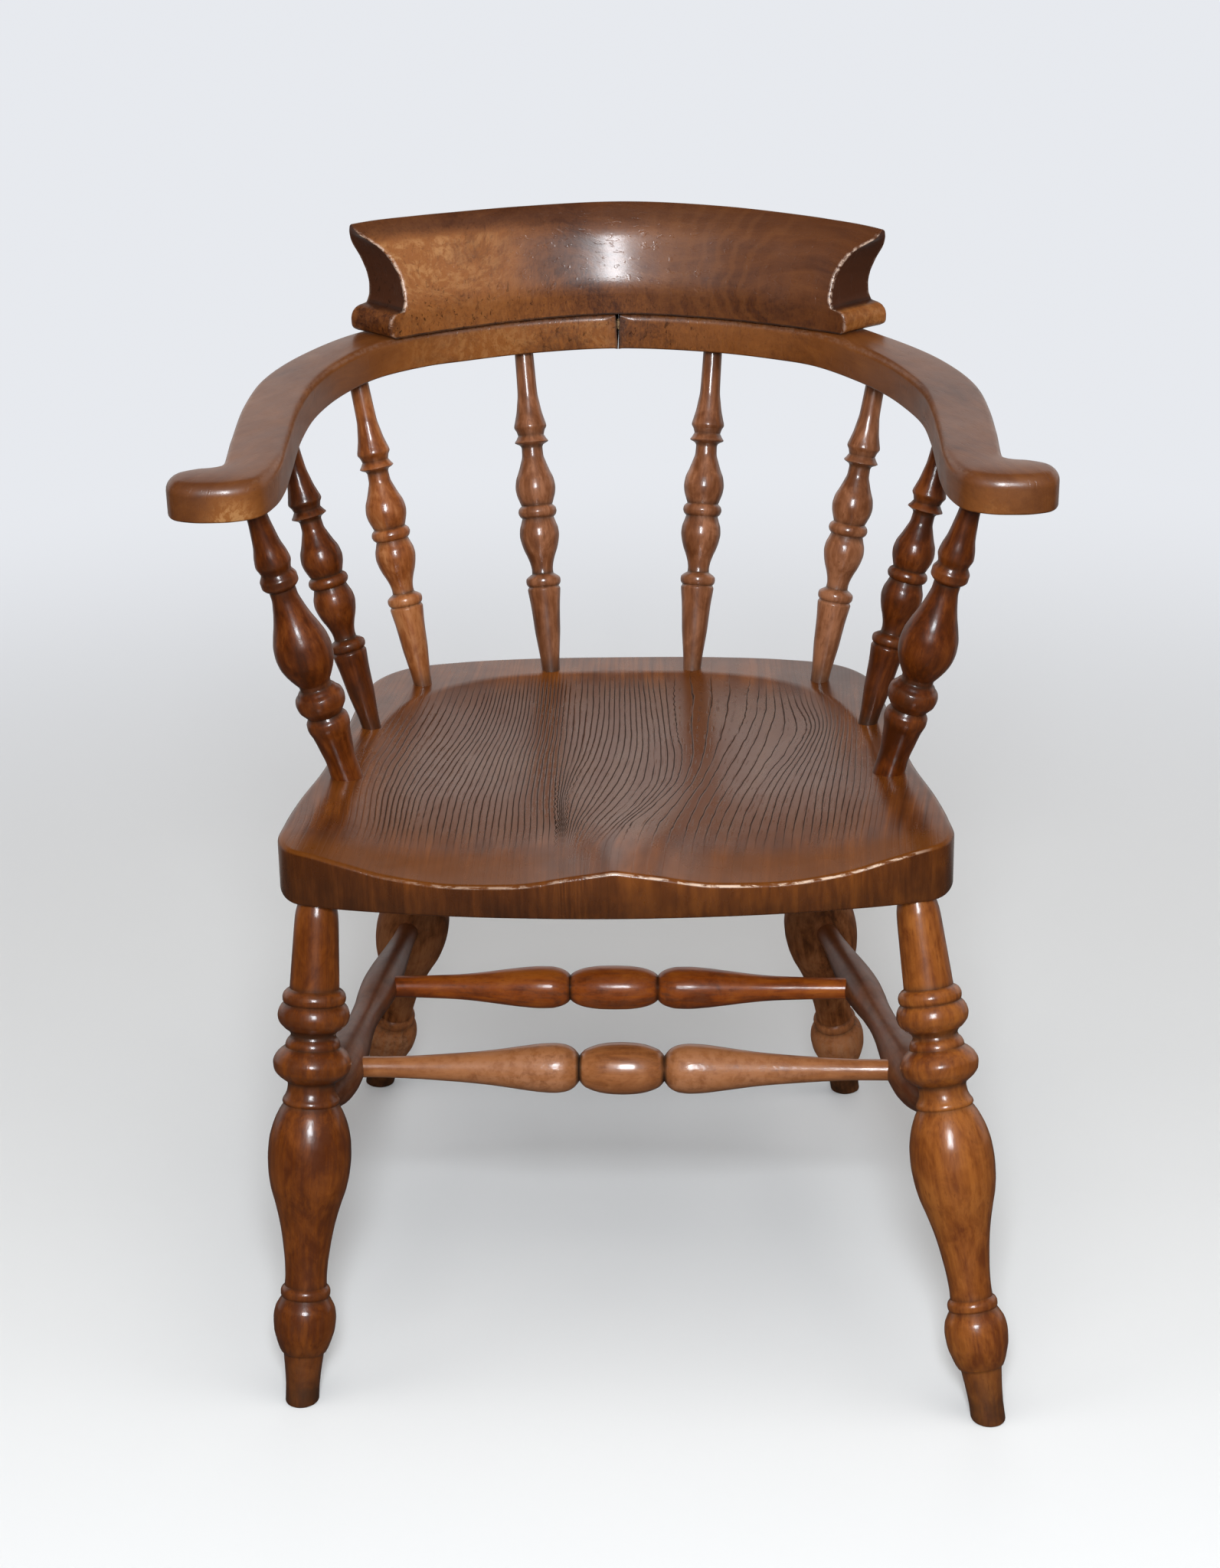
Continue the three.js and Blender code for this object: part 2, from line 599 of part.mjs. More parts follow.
// Dowels: upright ones hold the crest on the bow, and a level one joins the two arms
const dowelAt = (gap) => {
  const radius = dowelDiameter / 2 + gap;
  const reach = dowelLength / 2 + gap;
  return turnedGeometry([[-reach, radius], [reach, radius]], slimSides);
};

// Adds a hidden dowel in the bow's frame, and gives the cutter for its hole.
function addDowel(name, place) {
  const dowel = new THREE.Mesh(dowelAt(0), wood.hidden);
  dowel.name = name;
  dowel.applyMatrix4(place);
  bow.add(dowel);
  return dowelAt(clearance).applyMatrix4(place);
}

crestDowelShares.forEach((share, index) => {
  const spot = spotBeside(crestFace, 0.5 + share * crestHalfShare, crestDepth / 2);
  const place = new THREE.Matrix4().makeTranslation(spot.x, spot.y, armThickness);
  const hole = addDowel(`crest_dowel_${index + 1}`, place);
  crestCutters.push(hole);
  armCutters[share < 0 ? "left" : "right"].push(hole);
});

const jointSpot = spotBeside(crestFace, 0.5, crestDepth / 2);
const jointPlace = new THREE.Matrix4()
  .makeRotationY(Math.PI / 2)
  .setPosition(jointSpot.x, jointSpot.y, armThickness / 2);
const jointHole = addDowel("arm_joint_dowel", jointPlace);

for (const { word, side } of handed) {
  const arm = armMesh(word, side);
  cutFrom(arm, [jointHole, ...armCutters[word]]);
  bow.add(arm);
}

const crest = new THREE.Mesh(crestGeometry(), wood.bow);
crest.name = "crest_rail";
cutFrom(crest, crestCutters);
bow.add(crest);

const seat = new THREE.Mesh(seatGeometry(), wood.seat);
seat.name = "seat";
cutFrom(seat, seatCutters);

upperFrame.add(bow);
chair.add(seat, upperFrame, underFrame);

// The part's origin is the middle of its bounding box, on the floor
chair.updateMatrixWorld(true);
const bounds = new THREE.Box3().setFromObject(chair, true);
const middle = bounds.getCenter(new THREE.Vector3());
chair.position.set(-middle.x, -middle.y, -bounds.min.z);

export default chair;
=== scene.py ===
"""The looks of a smoker's bow captain's chair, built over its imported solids.

Lengths in the classes are millimetres, in a plan frame whose origin is under the seat's own middle: +X is the
chair's right as seen from the front, -Y its front and +Z up. Part.place turns them into the part's frame.
"""

import logging
import math
from dataclasses import dataclass, field
from enum import Enum
from typing import Callable, Optional, Sequence

import bpy
import numpy as np
from mathutils import Matrix, Vector
from mathutils.geometry import delaunay_2d_cdt


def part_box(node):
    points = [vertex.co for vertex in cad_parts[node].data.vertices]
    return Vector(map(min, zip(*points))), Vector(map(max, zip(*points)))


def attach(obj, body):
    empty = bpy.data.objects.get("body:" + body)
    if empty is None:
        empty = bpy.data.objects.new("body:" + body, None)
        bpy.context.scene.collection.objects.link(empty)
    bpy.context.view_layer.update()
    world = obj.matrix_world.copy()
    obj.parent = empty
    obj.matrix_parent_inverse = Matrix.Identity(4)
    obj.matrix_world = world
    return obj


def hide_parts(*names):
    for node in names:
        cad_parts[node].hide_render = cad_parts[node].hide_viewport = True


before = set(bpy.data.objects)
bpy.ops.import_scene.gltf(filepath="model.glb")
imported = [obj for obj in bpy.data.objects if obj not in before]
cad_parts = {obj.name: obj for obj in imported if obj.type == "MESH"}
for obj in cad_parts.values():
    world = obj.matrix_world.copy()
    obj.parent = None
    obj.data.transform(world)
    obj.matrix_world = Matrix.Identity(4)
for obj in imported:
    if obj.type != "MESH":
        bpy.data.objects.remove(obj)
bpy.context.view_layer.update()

log = logging.getLogger("captains_chair")

MM = 0.001
Colour = tuple[float, float, float]
Spot = tuple[float, float, float]
Pair = tuple[float, float]
Table = Sequence[tuple[float, ...]]
Array = np.ndarray
Socket = bpy.types.NodeSocket
Material = bpy.types.Material


class Side(Enum):
    """A side of the chair, as seen from its front."""

    LEFT = -1
    RIGHT = 1

    @property
    def word(self) -> str:
        """The side's name as the pieces use it."""
        return self.name.lower()


class End(Enum):
    """The front or the rear of the under-frame."""

    FRONT = "front"
    REAR = "rear"


def one_each(kind: type[Enum], *values: object) -> object:
    """A field's default, with one value for each member of an Enum, in their order."""
    return field(default_factory=lambda: dict(zip(kind, values)))


# Curves and tables


def smooth_table(table: Table, places: Array) -> Array:
    """Reads a table of (place, value) with a smooth curve that never overshoots its points.

    Args:
        table: rows of place and value; a third item, if there is one, marks a sharp corner.
        places: where to read it.

    Returns:
        The value at each place.
    """
    x = np.array([row[0] for row in table], float)
    y = np.array([row[1] for row in table], float)
    sharp = [i for i, row in enumerate(table) if len(row) > 2 or i in (0, len(table) - 1)]
    result = np.empty_like(places, dtype=float)
    for first, last in zip(sharp, sharp[1:]):
        xs, ys = x[first : last + 1], y[first : last + 1]
        step = np.diff(xs)
        rise = np.diff(ys) / step
        slope = np.zeros(len(xs))
        for i in range(1, len(xs) - 1):
            if rise[i - 1] * rise[i] > 0:
                before, after = 2 * step[i] + step[i - 1], step[i] + 2 * step[i - 1]
                slope[i] = (before + after) / (before / rise[i - 1] + after / rise[i])
        slope[0], slope[-1] = rise[0], rise[-1]
        inside = (places >= xs[0]) & (places <= xs[-1])
        i = np.clip(np.searchsorted(xs, places[inside], side="right") - 1, 0, len(step) - 1)
        t = (places[inside] - xs[i]) / step[i]
        result[inside] = (
            ys[i] * (1 + 2 * t) * (1 - t) ** 2
            + slope[i] * step[i] * t * (1 - t) ** 2
            + ys[i + 1] * t**2 * (3 - 2 * t)
            - slope[i + 1] * step[i] * t**2 * (1 - t)
        )
    return result


def smooth_curve(points: Sequence[Sequence[float]], closed: bool, per_span: int = 40) -> Array:
    """Draws a centripetal curve through plane points.

    Args:
        points: the places it passes through.
        closed: whether it returns to its start.
        per_span: how many steps it takes between two points.

    Returns:
        The curve's points, without the start again at the end of a closed one.
    """
    p = np.array(points, float)
    count = len(p)
    spans = count if closed else count - 1
    before = p[-1] if closed else 2 * p[0] - p[1]
    after = [p[0], p[1]] if closed else [2 * p[-1] - p[-2]]
    whole = np.vstack([before, p, *after])
    drawn = []
    for i in range(spans):
        a, b, c, d = whole[i : i + 4]
        gaps = [max(np.linalg.norm(q - r), 1e-6) ** 0.5 for q, r in ((b, a), (c, b), (d, c))]
        start = ((b - a) / gaps[0] - (c - a) / (gaps[0] + gaps[1]) + (c - b) / gaps[1]) * gaps[1]
        stop = ((c - b) / gaps[1] - (d - b) / (gaps[1] + gaps[2]) + (d - c) / gaps[2]) * gaps[1]
        t = np.arange(per_span)[:, None] / per_span
        drawn.append(
            b
            + start * t
            + (-3 * b + 3 * c - 2 * start - stop) * t**2
            + (2 * b - 2 * c + start + stop) * t**3
        )
    if not closed:
        drawn.append(p[-1:])
    return np.vstack(drawn)


def lengths_along(points: Array) -> Array:
    """How far along a line of plane points each one lies."""
    return np.concatenate([[0], np.cumsum(np.linalg.norm(np.diff(points, axis=0), axis=1))])


def read_line(points: Array, along: Array, at: Array) -> Array:
    """The places at some distances along a line of plane points."""
    return np.stack([np.interp(at, along, points[:, k]) for k in (0, 1)], 1)


@dataclass
class Ribbon:
    """An open plane curve that other lines follow at a distance."""

    points: Array
    nudge: float = 0.5

    def __post_init__(self) -> None:
        """Measures the curve along its length."""
        self.along = lengths_along(self.points)
        self.length = float(self.along[-1])

    def spots(self, share: Array, outward: Array) -> Array:
        """Finds places beside the curve.

        Args:
            share: shares of the length from left to right.
            outward: distances to the curve's left side, which is the chair's outside.

        Returns:
            The places, one row each.
        """
        at = np.asarray(share, float) * self.length
        ahead = read_line(self.points, self.along, np.minimum(at + self.nudge, self.length))
        behind = read_line(self.points, self.along, np.maximum(at - self.nudge, 0))
        tangent = ahead - behind
        tangent /= np.linalg.norm(tangent, axis=1)[:, None]
        aside = np.stack([-tangent[:, 1], tangent[:, 0]], 1)
        return read_line(self.points, self.along, at) + aside * np.asarray(outward, float)[:, None]


def even_loop(points: Array, step: float) -> Array:
    """Spaces a closed loop's points evenly.

    Args:
        points: the loop's points.
        step: about how far apart the new points lie.

    Returns:
        The new points.
    """
    closed = np.vstack([points, points[:1]])
    along = lengths_along(closed)
    count = round(along[-1] / step)
    return read_line(closed, along, np.arange(count) * along[-1] / count)


def counter_clockwise(loop: Array) -> Array:
    """The same closed loop, turned round if it runs clockwise."""
    ahead = np.roll(loop, -1, axis=0)
    return loop if np.sum(loop[:, 0] * ahead[:, 1] - ahead[:, 0] * loop[:, 1]) > 0 else loop[::-1]


def ease(value: Array) -> Array:
    """A smooth step from 0 to 1."""
    t = np.clip(value, 0, 1)
    return t * t * (3 - 2 * t)


def fade(values: Array, band: Pair) -> Array:
    """A smooth step over a band, which is the value it starts at and its length."""
    return ease((values - band[0]) / band[1])


def bell(values: Array, middle: float, reach: float) -> Array:
    """A soft hump of height 1 about a middle."""
    return np.exp(-(((values - middle) / reach) ** 2))


def blurred(values: Array, reach: float) -> Array:
    """Smooths a row of values.

    Args:
        values: the row.
        reach: over how many neighbours it is smoothed.

    Returns:
        The smoothed row, as long as the first.
    """
    half = int(3 * reach)
    weights = np.exp(-0.5 * (np.arange(-half, half + 1) / reach) ** 2)
    padded = np.pad(values, half, mode="edge")
    return np.convolve(padded, weights / weights.sum(), mode="valid")


def inset_loop(loop: Array, distance: Array, sharpest: float = -0.6) -> Array:
    """Moves a counter-clockwise loop inwards, mitred at its corners.

    Args:
        loop: the loop's points.
        distance: how far each point's two edges move.
        sharpest: the cosine between two edges' normals from which a mitre grows no longer.

    Returns:
        The moved points.
    """
    edge = np.roll(loop, -1, axis=0) - loop
    edge /= np.linalg.norm(edge, axis=1)[:, None] + 1e-9
    inward = np.stack([-edge[:, 1], edge[:, 0]], 1)
    before = np.roll(inward, 1, axis=0)
    together = np.sum(inward * before, 1)
    mitre = (inward + before) / (1 + np.clip(together, sharpest, 1))[:, None]
    return loop + mitre * distance[:, None]


def distance_to(loop: Array, spots: Array, block: int = 200) -> Array:
    """Measures how far spots lie from a dense loop.

    Args:
        loop: the loop's points.
        spots: the plane places to measure from.
        block: how many of the loop's points are taken at once.

    Returns:
        Each spot's distance from the nearest point.
    """
    nearest = np.full(len(spots), np.inf)
    for part in np.array_split(loop, max(1, len(loop) // block)):
        gaps = np.linalg.norm(spots[:, None, :] - part[None, :, :], axis=2)
        nearest = np.minimum(nearest, gaps.min(1))
    return nearest


def loop_faces(rows: int, count: int) -> list[list[int]]:
    """Joins each loop of places to the next one.

    Args:
        rows: how many loops there are.
        count: how many places each has.

    Returns:
        Four-sided faces, loop by loop.
    """
    index = np.arange(rows * count).reshape(rows, count)
    low, high = index[:-1], index[1:]
    return np.stack([low, np.roll(low, -1, 1), np.roll(high, -1, 1), high], 2).reshape(-1, 4).tolist()


# Finishes


@dataclass(frozen=True)
class Pattern:
    """A soft noise in the wood, and the limits that turn it into spots."""

    scale: float
    detail: float
    rough: float
    warp: float = 0
    stretch: Optional[Spot] = None
    limits: Pair = (0, 1)
    to: Pair = (0, 1)


class Nodes:
    """Adds shader nodes to a material and wires them."""

    def __init__(self, tree: bpy.types.NodeTree) -> None:
        """Empties the tree and keeps it."""
        self.tree = tree
        tree.nodes.clear()

    def add(self, kind: str, *values: object, **settings: object) -> bpy.types.Node:
        """Adds a node.

        Args:
            kind: its kind.
            values: what its first sockets get.
            settings: its own settings, by name.

        Returns:
            The node.
        """
        node = self.tree.nodes.new(kind)
        for name, value in settings.items():
            setattr(node, name, value)
        for socket, value in zip(node.inputs, values):
            self.put(socket, value)
        return node

    def put(self, socket: Socket, value: object) -> None:
        """Wires a socket to another, or sets it to a plain value.

        Args:
            socket: the socket.
            value: the other socket, or the value.
        """
        if isinstance(value, Socket):
            self.tree.links.new(value, socket)
        elif isinstance(value, tuple) and socket.type == "RGBA" and len(value) == 3:
            socket.default_value = (*value, 1.0)
        else:
            socket.default_value = value

    def fill(self, node: bpy.types.Node, **values: object) -> None:
        """Wires or sets a node's sockets by their names, with _ for each space."""
        for name, value in values.items():
            self.put(node.inputs[name.replace("_", " ")], value)

    def read(self, name: str, vector: bool = False) -> Socket:
        """A value, or a vector, that the mesh carries."""
        node = self.add("ShaderNodeAttribute", attribute_name=name)
        return node.outputs["Vector" if vector else "Fac"]

    def parts(self, vector: Socket) -> Sequence[Socket]:
        """The three parts of a vector."""
        return self.add("ShaderNodeSeparateXYZ", vector).outputs

    def vector_calc(self, operation: str, *values: object) -> bpy.types.Node:
        """One step of arithmetic with vectors."""
        return self.add("ShaderNodeVectorMath", *values, operation=operation)

    def noise(self, vector: Socket, pattern: Pattern) -> Socket:
        """Lays a pattern over places.

        Args:
            vector: the places.
            pattern: the pattern.

        Returns:
            Its value, between 0 and 1.
        """
        if pattern.stretch:
            vector = self.vector_calc("MULTIPLY", vector, pattern.stretch).outputs[0]
        node = self.add("ShaderNodeTexNoise")
        self.fill(
            node, Vector=vector, Scale=pattern.scale, Detail=pattern.detail, Roughness=pattern.rough,
            Distortion=pattern.warp,
        )
        return node.outputs["Fac"]

    def calc(self, operation: str, *values: object) -> Socket:
        """One step of arithmetic."""
        return self.add("ShaderNodeMath", *values, operation=operation).outputs[0]

    def times(self, first: object, second: object) -> Socket:
        """Two values multiplied."""
        return self.calc("MULTIPLY", first, second)

    def line(self, value: Socket, factor: float, shift: float) -> Socket:
        """A value times a factor, and a shift added to it."""
        return self.calc("ADD", self.times(value, factor), shift)

    def mixture(self, values: Sequence[Socket], shares: Sequence[float]) -> Socket:
        """Adds values up.

        Args:
            values: the values.
            shares: what each is multiplied by first.

        Returns:
            The sum.
        """
        total = self.times(values[0], shares[0])
        for value, share in zip(values[1:], shares[1:]):
            total = self.calc("ADD", total, self.times(value, share))
        return total

    def spread(self, value: Socket, limits: Pair, to: Pair = (0, 1)) -> Socket:
        """Turns a value's range smoothly into another one.

        Args:
            value: the value.
            limits: the range that it is read between.
            to: the range that comes out.

        Returns:
            The result.
        """
        node = self.add("ShaderNodeMapRange", interpolation_type="SMOOTHSTEP")
        self.fill(node, Value=value, From_Min=limits[0], From_Max=limits[1], To_Min=to[0], To_Max=to[1])
        return node.outputs["Result"]

    def spotted(self, vector: Socket, pattern: Pattern) -> Socket:
        """A pattern over places, turned into spots by its limits."""
        return self.spread(self.noise(vector, pattern), pattern.limits, pattern.to)

    def patchy(self, name: str, vector: Socket, pattern: Pattern) -> Socket:
        """A mark of the mesh, broken up by spots."""
        return self.times(self.read(name), self.spotted(vector, pattern))

    def blend(self, share: object, first: object, second: object) -> Socket:
        """Mixes two colours.

        Args:
            share: the second colour's share.
            first: the first colour.
            second: the second colour.

        Returns:
            The mixed colour.
        """
        node = self.add("ShaderNodeMix", data_type="RGBA")
        for index, value in ((0, share), (6, first), (7, second)):
            self.put(node.inputs[index], value)
        return node.outputs[2]

    def relief(self, height: Socket, depth: float, strength: float, over: Optional[Socket] = None) -> Socket:
        """Bends a surface's normal.

        Args:
            height: the height that bends it, from 0 to 1.
            depth: what a height of 1 stands for, in metres.
            strength: how strongly it shows.
            over: a normal that is bent already.

        Returns:
            The bent normal.
        """
        node = self.add("ShaderNodeBump")
        self.fill(node, Strength=strength, Distance=depth, Height=height)
        if over is not None:
            self.fill(node, Normal=over)
        return node.outputs["Normal"]

    def glow(self, colour: Colour) -> Socket:
        """A surface that shines by itself with a colour."""
        return self.add("ShaderNodeEmission", colour).outputs[0]

    def layered(self, share: Socket, first: Socket, second: Socket) -> Socket:
        """Two surfaces mixed by the second one's share."""
        return self.add("ShaderNodeMixShader", share, first, second).outputs[0]

    def end(self, kind: str, **values: object) -> None:
        """Adds the tree's output and wires it."""
        self.fill(self.add(kind), **values)


@dataclass(frozen=True)
class Polish:
    """How the old wax and shellac over a piece of wood shines."""

    roughness: float
    roughness_spread: float
    coat: float
    coat_roughness: float
    under_shine: float = 0.2
    smear_limits: Pair = (0.3, 0.7)
    index: float = 1.5

    def rough(self, n: Nodes, smear: Socket, dull: Socket, dulling: float) -> Socket:
        """How matt the wood is where a noise smears its shine and where the polish has gone dull."""
        smeared = n.spread(smear, self.smear_limits, (self.roughness, self.roughness + self.roughness_spread))
        return n.calc("ADD", smeared, n.times(dull, dulling))


@dataclass(frozen=True)
class Finish:
    """What every finish has: its name, and a way to start and to end its shader."""

    name: str

    def start(self) -> tuple[Material, Nodes]:
        """Makes an empty material.

        Returns:
            The material and its nodes.
        """
        made = bpy.data.materials.new(self.name)
        made.use_nodes = True
        return made, Nodes(made.node_tree)

    @staticmethod
    def shine(
        n: Nodes, colour: Socket, rough: Socket, bump: Socket, polish: Polish, broken: Optional[Socket] = None
    ) -> None:
        """Puts a colour, a roughness and a bump on a polished surface.

        Args:
            n: the material's nodes.
            colour: the colour of the wood.
            rough: how matt it is.
            bump: its bent normals.
            polish: the shine over it.
            broken: how much of the polish pores and pits take away.
        """
        surface = n.add("ShaderNodeBsdfPrincipled")
        n.fill(surface, Base_Color=colour, Roughness=rough, Normal=bump, Coat_Normal=bump, IOR=polish.index)
        n.fill(surface, Specular_IOR_Level=polish.under_shine, Coat_Weight=polish.coat)
        n.fill(surface, Coat_Roughness=polish.coat_roughness)
        if broken is not None:
            left = n.calc("SUBTRACT", 1, broken)
            n.fill(surface, Specular_IOR_Level=n.times(left, polish.under_shine))
            n.fill(surface, Coat_Weight=n.times(left, polish.coat))
        n.end("ShaderNodeOutputMaterial", Surface=surface.outputs["BSDF"])


@dataclass(frozen=True)
class TurnedWood(Finish):
    """Polished red-brown wood of the turned pieces, with the grain along the piece."""

    deep: Colour
    main: Colour
    warm: Colour
    worn: Colour = (0.42, 0.19, 0.09)
    grime: Colour = (0.026, 0.013, 0.006)
    polish: Polish = Polish(0.34, 0.12, 0.65, 0.19)
    cloud: Pattern = Pattern(22, 4, 0.6, 0.6, (1, 1, 0.45))
    streak: Pattern = Pattern(260, 4, 0.6, 0, (1, 1, 0.05))
    patch: Pattern = Pattern(64, 4, 0.65, 0.8, (1, 1, 0.6))
    tone_shares: Spot = (0.42, 0.26, 0.32)
    main_tones: Pair = (0.4, 0.51)
    warm_tones: Pair = (0.48, 0.6)
    fleck: Pattern = Pattern(620, 2, 0.5, 0, (1, 1, 0.16))
    fleck_limits: Pair = (0.6, 0.72)
    fleck_share: float = 0.5
    rubbed: Pattern = Pattern(150, 5, 0.7, 0.4, None, (0.36, 0.6), (0.35, 1))
    worn_tones: Pair = (0.35, 0.7)
    grime_and_shade_spots: Pattern = Pattern(45, 3, 0.6, 0, None, (0.25, 0.7), (0.55, 1))
    smear: Pattern = Pattern(60, 3, 0.6, 0, (1, 1, 0.5))
    dulling: float = 0.22
    fibre: Pattern = Pattern(900, 2, 0.5, 0, (1, 1, 0.03))
    crazed: Pattern = Pattern(480, 3, 0.6, 0.5, (1, 1, 0.5))
    height_shares: Spot = (0.5, -0.6, 2.4)
    relief: Pair = (0.00018, 0.5)
    waves: Pattern = Pattern(40, 2, 0.5)
    wave_relief: Pair = (0.0012, 0.25)

    def material(self) -> Material:
        """Builds the shader.

        Returns:
            The material, ready for a piece that carries grain, wear, and a mark of grime and painted shade.
        """
        made, n = self.start()
        grain = n.read("grain", vector=True)
        streak = n.noise(grain, self.streak)
        fleck = n.noise(grain, self.fleck)
        tone = n.mixture((n.noise(grain, self.cloud), streak, n.noise(grain, self.patch)), self.tone_shares)
        colour = n.blend(n.spread(tone, self.main_tones), self.deep, self.main)
        colour = n.blend(n.spread(tone, self.warm_tones), colour, self.warm)
        colour = n.blend(n.times(n.spread(fleck, self.fleck_limits), self.fleck_share), colour, self.deep)
        worn = n.patchy("worn", grain, self.rubbed)
        colour = n.blend(worn, colour, n.blend(n.spread(streak, self.worn_tones), self.worn, self.warm))
        # Darkens by the mark of grime and painted shade: dirt in the grooves, and painted shade where a
        # piece's bands put it.
        grime = n.patchy("grime", grain, self.grime_and_shade_spots)
        colour = n.blend(grime, colour, self.grime)
        rough = self.polish.rough(n, n.noise(grain, self.smear), n.calc("MAXIMUM", worn, grime), self.dulling)
        crazed = n.times(n.noise(grain, self.crazed), n.read("worn"))
        height = n.mixture((n.noise(grain, self.fibre), fleck, crazed), self.height_shares)
        waves = n.relief(n.noise(grain, self.waves), *self.wave_relief)
        self.shine(n, colour, rough, n.relief(height, *self.relief, waves), self.polish)
        return made


@dataclass(frozen=True)
class MottledWood(Finish):
    """Figured wood of the arms and the crest rail, with dark curls and pale rubbed edges."""

    deep: Colour = (0.055, 0.013, 0.002)
    main: Colour = (0.135, 0.038, 0.006)
    warm: Colour = (0.225, 0.072, 0.013)
    amber: Colour = (0.28, 0.086, 0.012)
    gold: Colour = (0.43, 0.195, 0.062)
    pale: Colour = (0.62, 0.44, 0.33)
    grime: Colour = (0.012, 0.005, 0.002)
    polish: Polish = Polish(0.42, 0.08, 0.75, 0.24, 0.45)
    bend: Pattern = Pattern(9, 2, 0.5)
    bend_reach: Spot = (0.05, 0.05, 0.012)
    curl: Pattern = Pattern(85, 4, 0.62, 1.6, (0.5, 0.5, 1))
    knot: Pattern = Pattern(210, 5, 0.66, 2.2, (0.8, 0.8, 1))
    flame: Pattern = Pattern(300, 4, 0.6, 1.0, (1, 0.3, 1))
    figure_shares: Spot = (0.3, 0.35, 0.35)
    stripe: Pattern = Pattern(120, 4, 0.6, 0.3, (1, 1, 0.13))
    cloud: Pattern = Pattern(13, 3, 0.55, 0.4)
    plain_shares: Pair = (0.6, 0.4)
    tone_shares: Pair = (0.75, 0.25)
    contrast: Pair = (1.5, 0.5)
    main_tones: Pair = (0.33, 0.52)
    warm_tones: Pair = (0.47, 0.7)
    amber_tones: Pair = (0.3, 0.56)
    glint: Pattern = Pattern(230, 5, 0.72, 0.35, (1, 0.6, 0.5), (0.44, 0.62))
    glint_clouds: Pair = (0.34, 0.56)
    glint_range: Pair = (0.2, 1)
    gilding: Pair = (0.95, 0.05)
    steepness: float = 3.0
    ripple_shares: Pair = (0.4, 22.0)
    ripple_stripe: float = 1.2
    ripple_limits: Pair = (0.4, 1.6)
    ripple_range: Pair = (0, 0.42)
    fleck: Pattern = Pattern(700, 2, 0.5, 0, (1, 1, 0.35))
    fleck_limits: Pair = (0.6, 0.74)
    fleck_share: float = 0.3
    specks: Pattern = Pattern(420, 3, 0.6, 0.8, (1, 0.4, 0.8), (0.4, 0.33))
    pitting: Pair = (0.7, 0.05)
    pit_dulling: float = 0.7
    rubbed: Pattern = Pattern(240, 4, 0.7, 0.5, None, (0.42, 0.58))
    grime_and_shade_spots: Pattern = Pattern(60, 3, 0.6, 0, None, (0.25, 0.65), (0.5, 1))
    smear: Pattern = Pattern(34, 4, 0.62, 0, (1, 1, 0.6))
    dulling: float = 0.25
    scratch: Pattern = Pattern(520, 2, 0.5, 0.6, (1, 0.12, 0.25), (0.68, 0.6))
    height_shares: Pair = (-0.5, 0.7)
    relief: Pair = (0.00022, 0.45)
    waves: Pattern = Pattern(26, 2, 0.5)
    wave_relief: Pair = (0.0016, 0.25)

    def material(self) -> Material:
        """Builds the shader.

        Returns:
            The material, ready for a piece that carries grain, burr, shade, arcs, wear and a darkening mark.
        """
        made, n = self.start()
        grain = n.read("grain", vector=True)
        burr = n.read("burr")
        shade = n.read("shade")
        bend = n.vector_calc("MULTIPLY", n.noise(grain, self.bend), self.bend_reach).outputs[0]
        flowing = n.vector_calc("ADD", grain, bend).outputs[0]
        stripe = n.noise(flowing, self.stripe)
        cloud = n.noise(grain, self.cloud)
        fleck = n.noise(flowing, self.fleck)
        figures = [n.noise(flowing, pattern) for pattern in (self.curl, self.knot, self.flame)]
        figured = n.times(n.mixture(figures, self.figure_shares), burr)
        plain = n.times(n.mixture((stripe, cloud), self.plain_shares), n.calc("SUBTRACT", 1, burr))
        tone = n.mixture((n.calc("ADD", figured, plain), cloud), self.tone_shares)
        tone = n.times(n.calc("SUBTRACT", tone, 0.5), n.line(burr, *self.contrast))
        tone = n.calc("ADD", tone, 0.5)
        colour = n.blend(n.spread(tone, self.main_tones), self.deep, self.main)
        colour = n.blend(n.spread(tone, self.warm_tones), colour, self.warm)
        # Positive shade turns golden; the bright patch on the paddles' fronts that it carries is partly
        # painted light.
        golden = n.calc("MAXIMUM", shade, 0)
        colour = n.blend(golden, colour, n.blend(n.spread(tone, self.amber_tones), self.main, self.amber))
        glint = n.times(n.spotted(flowing, self.glint), n.spread(cloud, self.glint_clouds, self.glint_range))
        gilded = n.times(n.calc("POWER", golden, self.steepness), n.line(glint, *self.gilding))
        colour = n.blend(gilded, colour, self.gold)
        ripple = n.calc("SINE", n.mixture((n.read("arc"), cloud), self.ripple_shares))
        ripple = n.calc("ADD", ripple, n.times(stripe, self.ripple_stripe))
        ripple = n.spread(ripple, self.ripple_limits, self.ripple_range)
        colour = n.blend(n.times(ripple, n.read("arched")), colour, self.warm)
        # Negative shade darkens towards the deep colour; on the crest's rolled top this is painted shade.
        colour = n.blend(n.calc("MAXIMUM", n.times(shade, -1), 0), colour, self.deep)
        pitted = n.line(n.calc("POWER", burr, self.steepness), *self.pitting)
        pits = n.times(n.spotted(flowing, self.specks), pitted)
        colour = n.blend(pits, colour, self.grime)
        colour = n.blend(n.times(n.spread(fleck, self.fleck_limits), self.fleck_share), colour, self.deep)
        worn = n.patchy("worn", grain, self.rubbed)
        colour = n.blend(worn, colour, self.pale)
        grime = n.patchy("grime", grain, self.grime_and_shade_spots)
        colour = n.blend(grime, colour, self.grime)
        rough = self.polish.rough(n, n.noise(grain, self.smear), n.calc("MAXIMUM", worn, grime), self.dulling)
        height = n.mixture((fleck, n.spotted(grain, self.scratch)), self.height_shares)
        waves = n.relief(n.noise(grain, self.waves), *self.wave_relief)
        bump = n.relief(height, *self.relief, waves)
        self.shine(n, colour, rough, bump, self.polish, n.times(pits, self.pit_dulling))
        return made


